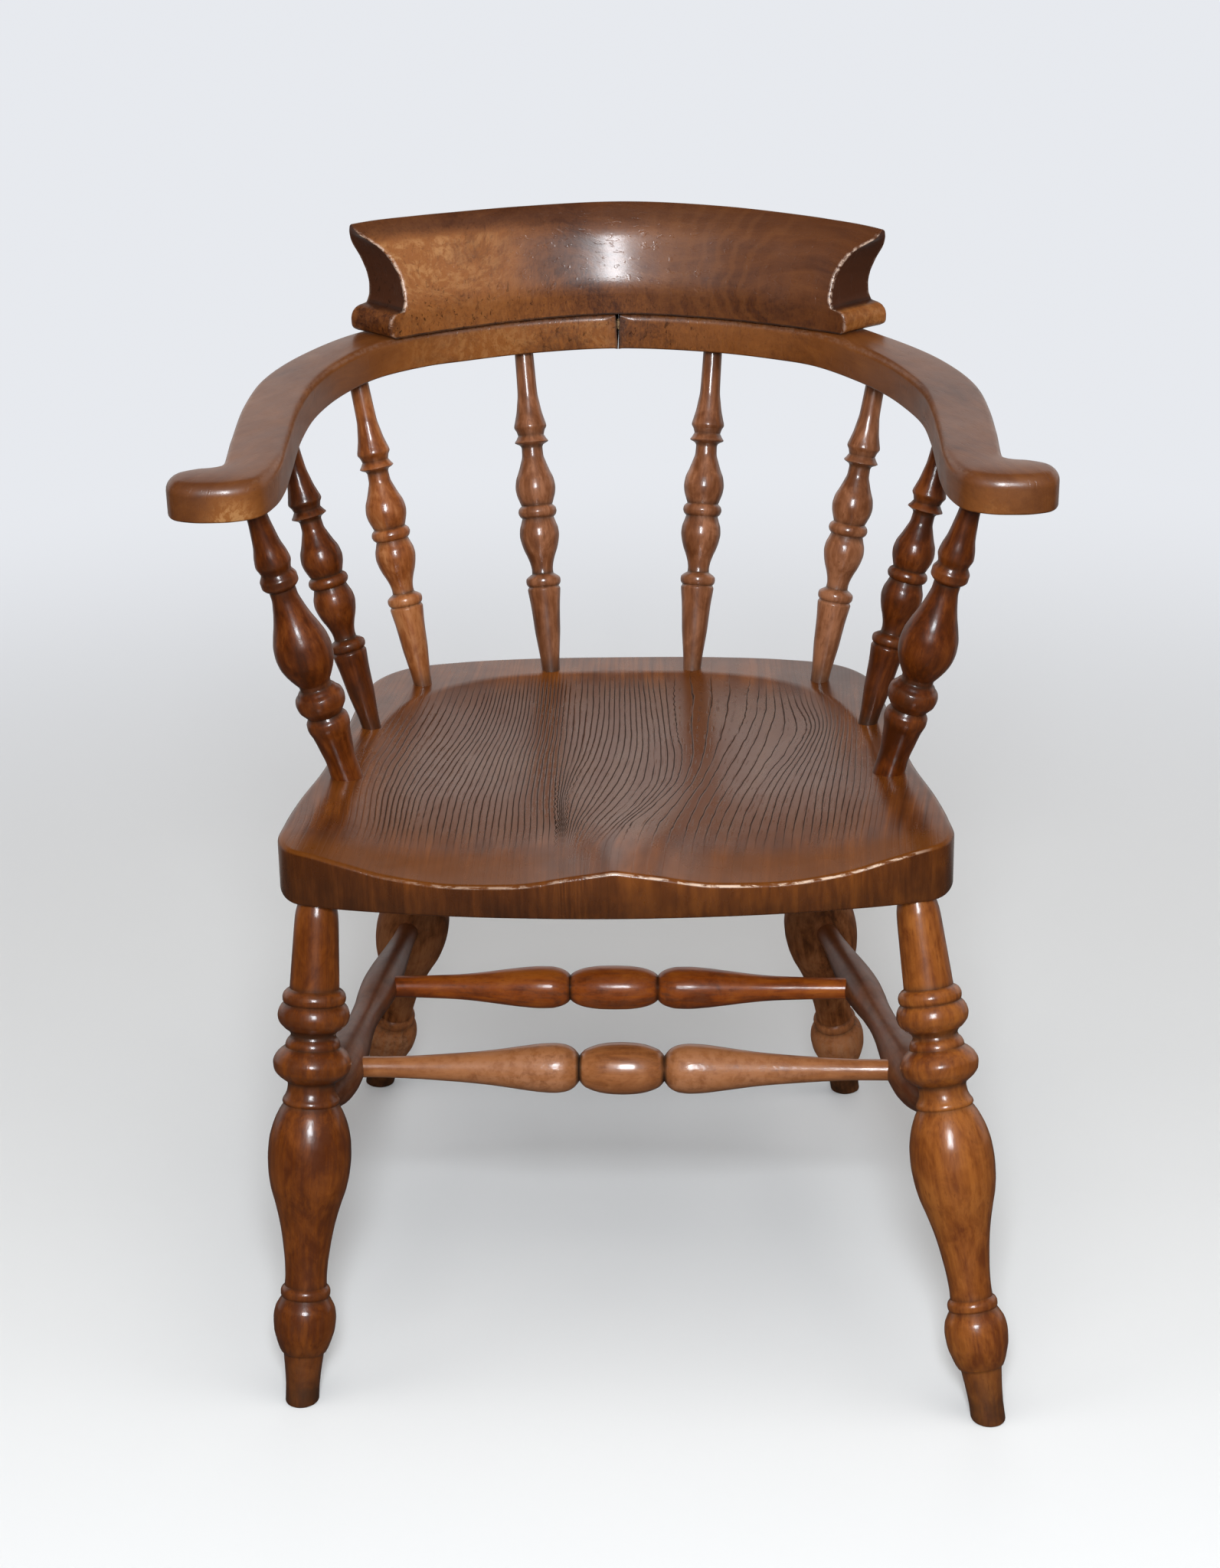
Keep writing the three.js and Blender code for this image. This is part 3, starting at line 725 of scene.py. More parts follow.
@dataclass(frozen=True)
class ElmSeat(Finish):
    """Open-grained elm of the seat: dark pores in lines along the growth rings, under a worn polish."""

    deep: Colour = (0.062, 0.015, 0.002)
    main: Colour = (0.112, 0.029, 0.004)
    warm: Colour = (0.2, 0.056, 0.007)
    sat_on: Colour = (0.1, 0.04, 0.017)
    dull_tone: Colour = (0.16, 0.047, 0.006)
    pore: Colour = (0.013, 0.006, 0.003)
    pale: Colour = (0.72, 0.52, 0.38)
    polish: Polish = Polish(0.24, 0.08, 0.45, 0.2, 0.38)
    ring_gap: float = 4.8
    least_pace: float = 0.2
    wander: Pattern = Pattern(55, 3, 0.6, 0, (1, 0.2, 1))
    wander_share: float = 0.7
    line_rise: Pair = (0.0, 0.3)
    line_fall: Pair = (1.6, 0.6)
    dash: Pattern = Pattern(260, 3, 0.65, 0, (1, 0.035, 1), (0.26, 0.44))
    fine_place: Pair = (2.0, 0.37)
    fine_rise: Pair = (0.0, 0.2)
    fine_fall: Pair = (0.5, 0.25)
    short: Pattern = Pattern(800, 2, 0.55, 0, (1, 0.1, 1), (0.5, 0.66))
    fine_share: float = 0.28
    pores_sat_on: Pair = (0.92, 0.08)
    cloud: Pattern = Pattern(11, 4, 0.6, 0.5, (1, 0.6, 1))
    streak: Pattern = Pattern(170, 4, 0.6, 0, (1, 0.05, 0.12))
    tone_shares: Pair = (0.55, 0.45)
    main_tones: Pair = (0.36, 0.54)
    warm_tones: Pair = (0.48, 0.66)
    sat_tones: Pair = (0.35, 0.65)
    sat_share: float = 0.75
    pore_share: float = 0.9
    dull_share: float = 0.55
    rubbed: Pattern = Pattern(240, 4, 0.65, 0.4, (0.3, 1, 1), (0.42, 0.56))
    grime_and_shade_spots: Pattern = Pattern(60, 3, 0.6, 0, None, (0.25, 0.65), (0.5, 1))
    smear: Pattern = Pattern(26, 4, 0.62, 0, (1, 0.5, 1))
    dulling: float = 0.25
    height_shares: Pair = (-1.0, 0.25)
    relief: Pair = (0.0005, 0.6)
    waves: Pattern = Pattern(22, 2, 0.5)
    wave_relief: Pair = (0.0018, 0.25)
    pore_break: float = 0.85
    dull_break: float = 0.6

    def material(self) -> Material:
        """Builds the shader.

        Returns:
            The material, ready for a seat that carries grain, rings, pace, sat, dull, wear and a darkening
            mark.
        """
        made, n = self.start()
        grain = n.read("grain", vector=True)
        rings = n.read("rings")
        sat = n.read("sat")
        dull = n.read("dull")
        _, depth, height = n.parts(grain)
        following = n.add("ShaderNodeCombineXYZ", n.times(rings, MM), depth, height).outputs[0]
        wander = n.times(n.noise(grain, self.wander), self.wander_share)
        place = n.calc("ADD", n.calc("DIVIDE", rings, self.ring_gap), wander)
        gap = n.calc("DIVIDE", self.ring_gap, n.calc("MAXIMUM", n.read("pace"), self.least_pace))
        saw = n.times(n.calc("FRACT", place), gap)
        line = n.times(n.spread(saw, self.line_rise), n.spread(saw, self.line_fall))
        line = n.times(line, n.spotted(following, self.dash))
        fine = n.calc("FRACT", n.line(place, *self.fine_place))
        second = n.times(n.spread(fine, self.fine_rise), n.spread(fine, self.fine_fall))
        second = n.times(n.times(second, n.spotted(following, self.short)), self.fine_share)
        pores = n.times(n.calc("MAXIMUM", line, second), n.line(sat, *self.pores_sat_on))
        streak = n.noise(following, self.streak)
        tone = n.mixture((n.noise(grain, self.cloud), streak), self.tone_shares)
        colour = n.blend(n.spread(tone, self.main_tones), self.deep, self.main)
        colour = n.blend(n.spread(tone, self.warm_tones), colour, self.warm)
        seated = n.blend(n.spread(tone, self.sat_tones), self.main, self.sat_on)
        colour = n.blend(n.times(sat, self.sat_share), colour, seated)
        colour = n.blend(n.times(pores, self.pore_share), colour, self.pore)
        colour = n.blend(n.times(dull, self.dull_share), colour, self.dull_tone)
        worn = n.patchy("worn", grain, self.rubbed)
        colour = n.blend(worn, colour, self.pale)
        grime = n.patchy("grime", grain, self.grime_and_shade_spots)
        colour = n.blend(grime, colour, self.pore)
        rough = self.polish.rough(n, n.noise(grain, self.smear), pores, self.dulling)
        waves = n.relief(n.noise(grain, self.waves), *self.wave_relief)
        bump = n.relief(n.mixture((pores, streak), self.height_shares), *self.relief, waves)
        broken = n.calc("MAXIMUM", n.times(pores, self.pore_break), n.times(dull, self.dull_break))
        self.shine(n, colour, rough, bump, self.polish, broken)
        return made


@dataclass(frozen=True)
class BareWood(Finish):
    """Unpolished pale wood of the dowels inside the joints."""

    light: Colour = (0.55, 0.36, 0.18)
    dark: Colour = (0.36, 0.21, 0.1)
    polish: Polish = Polish(0.6, 0.1, 0.0, 0.3)
    streak: Pattern = Pattern(600, 3, 0.6, 0, (1, 1, 0.08))
    light_tones: Pair = (0.35, 0.65)
    matt_limits: Pair = (0.3, 0.7)
    matt_range: Pair = (0.6, 0.75)
    relief: Pair = (0.0002, 0.4)

    def material(self) -> Material:
        """Builds the shader.

        Returns:
            The material, which needs nothing from the mesh.
        """
        made, n = self.start()
        streak = n.noise(n.add("ShaderNodeTexCoord").outputs["Object"], self.streak)
        colour = n.blend(n.spread(streak, self.light_tones), self.dark, self.light)
        rough = n.spread(streak, self.matt_limits, self.matt_range)
        self.shine(n, colour, rough, n.relief(streak, *self.relief), self.polish)
        return made


SATIN = Polish(0.34, 0.12, 0.8, 0.18, 0.3)


class Wood(Enum):
    """The finishes, each with its own tone of the same polished wood."""

    LEG = TurnedWood(
        "leg_polish", deep=(0.076, 0.015, 0.0012), main=(0.138, 0.032, 0.0026), warm=(0.215, 0.056, 0.007)
    )
    # The right front leg's lighter copy of the leg polish: partly paler wood, partly painted light on the
    # better-lit leg.
    LIGHT_LEG = TurnedWood(
        "light_leg_polish", deep=(0.12, 0.026, 0.003), main=(0.215, 0.058, 0.008), warm=(0.31, 0.097, 0.016)
    )
    REAR_LEG = TurnedWood(
        "rear_leg_polish", deep=(0.08, 0.02, 0.003), main=(0.25, 0.074, 0.018), warm=(0.4, 0.145, 0.05),
        polish=Polish(0.4, 0.12, 0.2, 0.3, 0.1),
    )
    POST = TurnedWood(
        "post_polish", deep=(0.045, 0.009, 0.001), main=(0.09, 0.018, 0.0015), warm=(0.16, 0.038, 0.005)
    )
    SPINDLE = TurnedWood(
        "spindle_polish", deep=(0.12, 0.035, 0.01), main=(0.2, 0.067, 0.024), warm=(0.33, 0.13, 0.058),
        polish=SATIN,
    )
    AMBER_SPINDLE = TurnedWood(
        "amber_spindle_polish", deep=(0.15, 0.035, 0.005), main=(0.265, 0.074, 0.0155),
        warm=(0.41, 0.155, 0.052), polish=SATIN,
    )
    ORANGE = TurnedWood(
        "orange_polish", deep=(0.13, 0.022, 0.0015), main=(0.29, 0.056, 0.003), warm=(0.42, 0.105, 0.01)
    )
    SIDE_RAIL = TurnedWood(
        "side_rail_polish", deep=(0.06, 0.013, 0.002), main=(0.1, 0.023, 0.004), warm=(0.15, 0.038, 0.009),
        polish=Polish(0.36, 0.12, 0.25, 0.3, 0.35),
    )
    RUBBED = TurnedWood(
        "rubbed_polish", deep=(0.16, 0.042, 0.007), main=(0.29, 0.093, 0.023), warm=(0.41, 0.155, 0.053),
        worn=(0.44, 0.18, 0.075), polish=Polish(0.28, 0.1, 0.7, 0.16, 0.4),
    )
    BOW = MottledWood("bow_polish")
    SEAT = ElmSeat("seat_polish")
    DOWEL = BareWood("bare_dowel")


@dataclass
class Palette:
    """Makes each finish's material once."""

    made: dict[Wood, Material] = field(default_factory=dict)

    def material(self, wood: Wood) -> Material:
        """Finds a finish's material, which is built when it is first asked for.

        Args:
            wood: the finish.

        Returns:
            Its material.
        """
        if wood not in self.made:
            self.made[wood] = wood.value.material()
        return self.made[wood]


# Pieces


@dataclass
class Part:
    """What every piece needs: its place in the part's frame, its marks and its finish."""

    seat_front_reach: float = 201.5
    sharp_angle: float = 38.0

    def place(self) -> Matrix:
        """The move to the part's frame in metres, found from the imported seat's front edge."""
        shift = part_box("seat")[0].y + self.seat_front_reach * MM
        return Matrix.Translation((0, shift, 0))

    def mesh(
        self,
        name: str,
        spots: Array,
        faces: Sequence[Sequence[int]],
        marks: dict[str, Array],
        line: Optional[Matrix] = None,
    ) -> bpy.types.Object:
        """Makes an object from places in millimetres.

        Args:
            name: the piece's name.
            spots: the places, in the piece's own frame.
            faces: the faces, facing out.
            marks: values that the mesh carries for its finish, by name.
            line: the piece's own frame in the plan frame; the plan frame itself if left out.

        Returns:
            The object, whose mesh is in the part's frame.
        """
        move = np.array(self.place() @ (line or Matrix.Identity(4)))
        placed = (spots * MM) @ move[:3, :3].T + move[:3, 3]
        data = bpy.data.meshes.new(f"{name}_look")
        data.from_pydata(placed.tolist(), [], [list(face) for face in faces])
        for mark, values in marks.items():
            kind, item = ("FLOAT_VECTOR", "vector") if values.ndim == 2 else ("FLOAT", "value")
            carried = data.attributes.new(mark, kind, "POINT").data
            carried.foreach_set(item, values.astype(np.float32).ravel())
        data.validate()
        data.update()
        piece = bpy.data.objects.new(f"{name}_look", data)
        bpy.context.scene.collection.objects.link(piece)
        data.polygons.foreach_set("use_smooth", [True] * len(data.polygons))
        data.set_sharp_from_angle(angle=math.radians(self.sharp_angle))
        return piece

    def settle(self, piece: bpy.types.Object, node: str, slot: str, finish: Material) -> None:
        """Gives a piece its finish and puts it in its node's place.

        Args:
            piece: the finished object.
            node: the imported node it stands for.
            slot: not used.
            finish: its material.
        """
        piece.data.materials.append(finish)
        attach(piece, "root")
        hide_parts(node)
        log.info("made %s with %d faces", piece.name, len(piece.data.polygons))


@dataclass
class Turning(Part):
    """A turned piece on a straight line between two places."""

    name: str = ""
    start: Spot = (0, 0, 0)
    end: Spot = (0, 0, 0)
    diameters: Table = ()
    worn_bands: Table = ((0, 0), (1, 0))
    dirt_bands: Table = ((0, 0), (1, 0))
    sides: int = 48
    ring_step: float = 1.5
    run_on: Pair = (0, 0)
    grime_depth: float = 1.6
    grime_blur: float = 3.0
    rub_share: float = 0.2
    flat_end: bool = False
    foot_break: float = 6
    foot_edge: Table = ((1.6, 0.0), (0.7, 0.25), (0.2, 0.8), (0.0, 1.6))
    seed: float = 0
    seed_steps: Spot = (0.37, 0.91, 1.73)

    def line(self) -> tuple[Matrix, float]:
        """Finds where the piece lies.

        Returns:
            The piece's own frame, with +Z along it, and its length.
        """
        start, end = Vector(self.start), Vector(self.end)
        turn = Vector((0, 0, 1)).rotation_difference(end - start)
        return Matrix.Translation(start * MM) @ turn.to_matrix().to_4x4(), (end - start).length

    def build(self, finish: Material) -> None:
        """Turns the piece and puts it in place.

        Args:
            finish: its material.
        """
        line, length = self.line()
        count = int(length / self.ring_step)
        shares = np.unique(np.concatenate([np.linspace(0, 1, count), [row[0] for row in self.diameters]]))
        radius = smooth_table(self.diameters, shares) / 2
        along = shares * length
        even = np.linspace(0, length, count)
        spread = np.interp(even, along, radius)
        hollow = blurred(spread, self.grime_blur / self.ring_step) - spread
        grime = np.interp(along, even, np.clip(hollow / self.grime_depth, 0, 1))
        rub = np.interp(along, even, np.clip(-hollow / self.grime_depth, 0, 1))
        # Adds painted shade and darkening from the listed bands to the grooves' grime.
        grime = np.maximum(grime, np.interp(shares, *zip(*self.dirt_bands)))
        worn = np.clip(np.interp(shares, *zip(*self.worn_bands)) + self.rub_share * rub, 0, 1)
        if self.run_on[0]:
            along, radius = np.insert(along, 0, -self.run_on[0]), np.insert(radius, 0, radius[0])
            grime, worn = np.insert(grime, 0, 1), np.insert(worn, 0, 0)
        if self.run_on[1]:
            along, radius = np.append(along, length + self.run_on[1]), np.append(radius, radius[-1])
            grime, worn = np.append(grime, 1), np.append(worn, 0)
        turn = np.arange(self.sides) * 2 * math.pi / self.sides
        ring = np.stack([np.cos(turn), np.sin(turn)], 1)
        around = ring[None] * radius[:, None, None]
        height = np.repeat(along[:, None], self.sides, 1)[..., None]
        spots = np.concatenate([around, height], 2)
        if self.flat_end:
            spots, kept = self.level_foot(spots, line)
            grime, worn = grime[kept], worn[kept]
        spots = spots.reshape(-1, 3)
        faces = loop_faces(len(grime), self.sides)
        faces.append(list(range(self.sides))[::-1])
        faces.append(list(range(len(spots) - self.sides, len(spots))))
        marks = {
            "grain": spots * MM + self.seed * np.array(self.seed_steps),
            "grime": np.repeat(grime, self.sides),
            "worn": np.repeat(worn, self.sides),
        }
        piece = self.mesh(self.name, spots, faces, marks, line)
        self.settle(piece, self.name, "turned_wood", finish)

    def level_foot(self, spots: Array, line: Matrix) -> tuple[Array, Array]:
        """Ends the piece level with the floor, with a broken edge.

        Args:
            spots: the rings' places in the piece's own frame, in rings from the top.
            line: the piece's own frame in the plan frame.

        Returns:
            The rings with a level end, and the row that each one takes its marks from.
        """
        turn = np.array(line.to_3x3())[2]
        above = spots @ turn + line.translation.z / MM
        kept = int(np.sum(above.min(1) > self.foot_break))
        last = spots[kept - 1]
        rings = list(spots[:kept])
        for height, inset in self.foot_edge:
            ring = last.copy()
            radius = np.linalg.norm(ring[:, :2], axis=1)[:, None]
            ring[:, :2] *= (radius - inset) / radius
            lift = height - ring @ turn - line.translation.z / MM
            ring[:, 2] += lift / turn[2]
            rings.append(ring)
        rows = np.concatenate([np.arange(kept), np.full(len(self.foot_edge), kept - 1)])
        return np.array(rings), rows


@dataclass
class UnderFrame:
    """Four splayed legs, two side stretchers and two cross stretchers."""

    under_seat: float = 389.5
    leg_tops: dict[End, Pair] = one_each(End, (228.0, -155.0), (147.0, 151.0))
    feet: dict[End, Pair] = one_each(End, (266.5, -260.0), (219.5, 287.5))
    rack_sideways: float = 16.5
    rack_forward: dict[End, float] = one_each(End, 15.0, 10.0)
    leg_joints: dict[End, float] = one_each(End, 0.4485, 0.4817)
    cross_joints: dict[End, float] = one_each(End, 0.256, 0.64)
    past_floor: float = 12
    leg_end: float = 24.4
    leg_sides: int = 56
    leg_run_on: Pair = (14, 0)
    # Darker bands along each leg, from its top (0) to its foot (1): darker at the feet, and painted shade at
    # the top of the rear legs, under the seat.
    leg_shade_and_darkening: dict[End, Table] = one_each(
        End,
        ((0, 0), (0.84, 0), (0.9, 0.45), (0.95, 0.8), (1, 0.9)),
        ((0, 0.75), (0.2, 0.6), (0.5, 0.35), (0.7, 0.1), (0.86, 0), (0.9, 0.85), (1, 1)),
    )
    leg_worn: dict[End, Table] = one_each(
        End,
        ((0, 0.02), (0.74, 0.03), (0.79, 0.03), (0.87, 0.03), (0.9, 0.1), (1, 0.05)),
        ((0, 0.02), (0.74, 0.03), (0.79, 0.8), (0.87, 0.8), (0.9, 0.1), (1, 0.05)),
    )
    side_worn: Table = ((0, 0.1), (0.22, 0.25), (1, 0.1))
    front_worn: Table = (
        (0, 0.2), (0.12, 0.35), (0.24, 0.9), (0.39, 1), (0.41, 0.25), (0.57, 0.25), (0.59, 0.9), (0.74, 0.9),
        (0.9, 0.4), (1, 0.2),
    )
    rear_worn: Table = ((0, 0.05), (0.3, 0.15), (0.7, 0.15), (1, 0.05))
    leg: Table = (
        (0, 28), (0.0139, 30), (0.0342, 33), (0.095, 35.5), (0.1762, 38.2, 1), (0.1802, 43.5), (0.1853, 47),
        (0.1924, 48.8), (0.1995, 48.4), (0.2046, 46.4, 1), (0.2107, 51), (0.2188, 54), (0.2289, 55.4),
        (0.2401, 53.4), (0.2492, 48), (0.2548, 43.2, 1), (0.2563, 40.6), (0.2614, 36.4), (0.2665, 34.6),
        (0.2721, 36, 1), (0.2766, 39.4), (0.2847, 42), (0.2903, 42.4, 1), (0.2959, 48.6), (0.306, 56),
        (0.3202, 60.4), (0.3355, 58.4), (0.3476, 51), (0.3552, 43, 1), (0.3588, 38.6), (0.3654, 36.8),
        (0.375, 37.4), (0.3882, 41), (0.3933, 43.6), (0.3984, 44.4), (0.4029, 42.4, 1), (0.4197, 50),
        (0.4501, 59), (0.4785, 63.3), (0.5079, 64.4), (0.5363, 63), (0.5668, 59), (0.5992, 51.5),
        (0.6297, 45), (0.6601, 40), (0.6936, 36), (0.724, 33.3), (0.7504, 32.3), (0.7661, 32.8, 1),
        (0.7707, 36.8), (0.7768, 38.6), (0.7839, 38.4), (0.7884, 36.8, 1), (0.7981, 41.4), (0.8112, 46.4),
        (0.8305, 48.6), (0.8539, 47.3), (0.8762, 42.5), (0.8914, 38.2), (0.899, 35, 1), (0.9025, 31.8),
        (0.9167, 30.2), (0.937, 28.3), (0.9675, 26.4), (1.1, 24.8),
    )
    side_radii: Table = (
        (0, 9.5), (0.07, 9.7), (0.1, 11), (0.14, 15.2), (0.18, 19.4), (0.22, 20.75), (0.26, 20.4),
        (0.31, 18.6), (0.36, 16), (0.42, 13.2), (0.47, 12.1), (0.52, 12.6), (0.58, 14.6), (0.64, 15.8),
        (0.69, 15.2), (0.75, 13.5), (0.82, 11.3), (0.9, 9.6), (1, 9.4),
    )
    front_cross: Table = (
        (0, 17), (0.07, 17), (0.122, 18.3), (0.18, 21.4), (0.239, 25.6), (0.268, 28.4), (0.297, 32),
        (0.326, 35.8), (0.355, 39), (0.377, 40), (0.394, 38.4), (0.405, 35), (0.413, 30), (0.4185, 24),
        (0.4212, 20.4, 1), (0.4242, 24), (0.43, 29.4), (0.44, 34), (0.456, 38.6), (0.475, 41.2),
        (0.4955, 42),
    )
    rear_cross: Table = (
        (0, 18), (0.06, 18.4), (0.119, 19.8), (0.155, 21), (0.19, 23.2), (0.226, 26.6), (0.262, 30.4),
        (0.297, 33.8), (0.335, 36), (0.357, 35.6), (0.372, 33.4), (0.383, 30.2), (0.3915, 26),
        (0.397, 21, 1), (0.4025, 25), (0.4114, 29), (0.424, 32.6), (0.44, 35.2), (0.462, 37), (0.488, 37.4),
    )

    @staticmethod
    def mirrored(half: Table) -> list[tuple[float, ...]]:
        """Completes a profile with its mirror image about the half's last place.

        Args:
            half: the profile from its start to the place it is mirrored about.

        Returns:
            The whole profile, which ends at 1.
        """
        middle = half[-1][0]
        other = [(2 * middle - row[0], *row[1:]) for row in reversed(half[:-1])]
        kept = [row for row in other if row[0] < 1]
        return [*half, *kept, (1, kept[-1][1])]

    def leg_line(self, side: Side, end: End) -> tuple[Vector, Vector]:
        """A leg's axis, from under the seat to the floor.

        Args:
            side: the side it stands on.
            end: the end of the chair it stands at.

        Returns:
            The two ends of the axis.
        """
        top_x, top_y = self.leg_tops[end]
        foot_x, foot_y = self.feet[end]
        rack = self.rack_sideways if end is End.FRONT else -self.rack_sideways
        foot = Vector((side.value * foot_x + rack, foot_y - side.value * self.rack_forward[end], 0))
        return Vector((side.value * top_x, top_y, self.under_seat)), foot

    def build(self, palette: Palette) -> None:
        """Makes the eight turned pieces.

        Args:
            palette: the chair's finishes.
        """
        seeds = iter(range(1, 9))
        lines = {(side, end): self.leg_line(side, end) for side in Side for end in End}
        for (side, end), (top, foot) in lines.items():
            past = foot + (foot - top).normalized() * self.past_floor
            scale = (past - top).length / (foot - top).length
            shares = [(row[0] / scale, *row[1:]) for row in self.leg if row[0] <= scale]
            leg = Turning(
                name=f"{end.value}_{side.word}_leg", start=tuple(top), end=tuple(past),
                diameters=[*shares, (1, self.leg_end)], worn_bands=self.leg_worn[end],
                dirt_bands=self.leg_shade_and_darkening[end], sides=self.leg_sides, run_on=self.leg_run_on, flat_end=True,
                seed=next(seeds),
            )
            # The right front leg takes a lighter copy of the leg polish, partly paler wood and partly painted
            # light.
            front_wood = Wood.LIGHT_LEG if side is Side.RIGHT else Wood.LEG
            leg.build(palette.material(front_wood if end is End.FRONT else Wood.REAR_LEG))
        sides = {
            side: [Vector.lerp(*lines[side, end], self.leg_joints[end]) for end in End] for side in Side
        }
        for side, (start, stop) in sides.items():
            stretcher = Turning(
                name=f"{side.word}_side_stretcher", start=tuple(start), end=tuple(stop),
                diameters=[(share, 2 * radius) for share, radius in self.side_radii],
                worn_bands=self.side_worn, seed=next(seeds),
            )
            stretcher.build(palette.material(Wood.SIDE_RAIL))
        crosses = (
            (End.FRONT, self.front_cross, self.front_worn, Wood.RUBBED),
            (End.REAR, self.rear_cross, self.rear_worn, Wood.ORANGE),
        )
        for end, half, worn, wood in crosses:
            start, stop = (tuple(Vector.lerp(*line, self.cross_joints[end])) for line in sides.values())
            stretcher = Turning(
                name=f"{end.value}_cross_stretcher", start=start, end=stop, diameters=self.mirrored(half),
                worn_bands=worn, seed=next(seeds),
            )
            stretcher.build(palette.material(wood))


@dataclass
class Uprights:
    """Two arm posts and six back spindles, between the seat and the bow."""

    seat_top: float = 437.0
    bow_height: float = 675.9
    bow_slope: float = 0.091
    post_place: tuple[Pair, Pair] = ((216.0, -22.0), (277.0, -38.0))
    post_sides: int = 56
    post_run_on: Pair = (10, 8)
    spindle_sides: int = 44
    spindle_run_on: Pair = (8, 8)
    ring_step: float = 1.2
    # Painted shade along each spindle, from the seat (0) to the bow (1): darker where it meets the seat and
    # under the bow.
    spindle_end_shade: Table = ((0, 0.75), (0.05, 0.35), (0.16, 0.15), (0.22, 0), (0.9, 0), (0.97, 0.35), (1, 0.6))
    spindles: dict[str, tuple[Pair, Pair]] = field(
        default_factory=lambda: {
            "inner": ((61.5, 228.0), (82.0, 308.0)),
            "middle": ((171.0, 194.0), (220.0, 239.0)),
            "outer": ((206.0, 89.0), (270.0, 119.0)),
        }
    )
    post: Table = (
        (0, 24.5), (0.03, 24.5), (0.06, 24.2), (0.11, 27), (0.16, 30.5), (0.195, 34.5), (0.212, 33.8),
        (0.225, 30), (0.232, 28.5, 1), (0.246, 33), (0.262, 38), (0.285, 39.8), (0.303, 38), (0.314, 33, 1),
        (0.323, 30), (0.333, 25.5), (0.345, 25.5), (0.356, 28.5), (0.373, 33.4), (0.4, 40), (0.43, 44.5),
        (0.458, 45.8), (0.49, 44.5), (0.53, 39), (0.575, 31), (0.62, 24.8), (0.66, 21.2), (0.683, 21.2),
        (0.69, 25.8), (0.702, 29.8), (0.722, 29.8), (0.733, 27, 1), (0.745, 24.5), (0.757, 26),
        (0.775, 28.6), (0.8, 27), (0.84, 22), (0.88, 19.3), (0.93, 16.8), (1, 16),
    )
    spindle: Table = (
        (0, 15.5), (0.03, 16.5), (0.08, 19.5), (0.12, 22), (0.16, 23.5), (0.2, 25.2), (0.24, 27.8),
        (0.251, 28.4), (0.259, 26, 1), (0.268, 29.4), (0.276, 30), (0.284, 29.4), (0.292, 25), (0.3, 18.7),
        (0.312, 18.4), (0.325, 19.3), (0.35, 23.3), (0.375, 28.8), (0.4, 32.6), (0.42, 34.2), (0.44, 33.2),
        (0.458, 30), (0.473, 27.4, 1), (0.481, 31.5), (0.492, 33.3), (0.503, 31.8), (0.512, 26.8, 1),
        (0.525, 29.4), (0.55, 33.6), (0.566, 34.6), (0.592, 32.7), (0.617, 27.3), (0.642, 22.4),
        (0.667, 18.5), (0.69, 18.1), (0.698, 20), (0.708, 29.1), (0.717, 26), (0.729, 22.3, 1),
        (0.742, 24.4), (0.755, 28), (0.775, 25.5), (0.8, 22), (0.825, 19.7), (0.858, 17.2), (0.9, 16.6),
        (1, 16),
    )

    def upright(self, side: Side, name: str, place: tuple[Pair, Pair], **turned: object) -> Turning:
        """Plans a turned piece between the seat and the bow.

        Args:
            side: the side it stands on.
            name: the rest of its name.
            place: its foot and its head in the plan of the right side.
            turned: its other values, by name.

        Returns:
            The piece, ready to be turned.
        """
        (foot_x, foot_y), (head_x, head_y) = place
        foot = (side.value * foot_x, foot_y, self.seat_top)
        head = (side.value * head_x, head_y, self.bow_height + self.bow_slope * head_y)
        return Turning(name=f"{side.word}_{name}", start=foot, end=head, ring_step=self.ring_step, **turned)

    def build(self, palette: Palette) -> None:
        """Makes the eight turned pieces.

        Args:
            palette: the chair's finishes.
        """
        seeds = iter(range(20, 28))
        for side in Side:
            post = self.upright(
                side, "arm_post", self.post_place, diameters=self.post, sides=self.post_sides,
                run_on=self.post_run_on, seed=next(seeds),
            )
            post.build(palette.material(Wood.POST))
            for name, place in self.spindles.items():
                spindle = self.upright(
                    side, f"{name}_spindle", place, diameters=self.spindle, sides=self.spindle_sides,
                    run_on=self.spindle_run_on, dirt_bands=self.spindle_end_shade, seed=next(seeds),
                )
                amber = side is Side.LEFT and name == "middle"
                wood = Wood.POST if name == "outer" else Wood.AMBER_SPINDLE if amber else Wood.SPINDLE
                spindle.build(palette.material(wood))


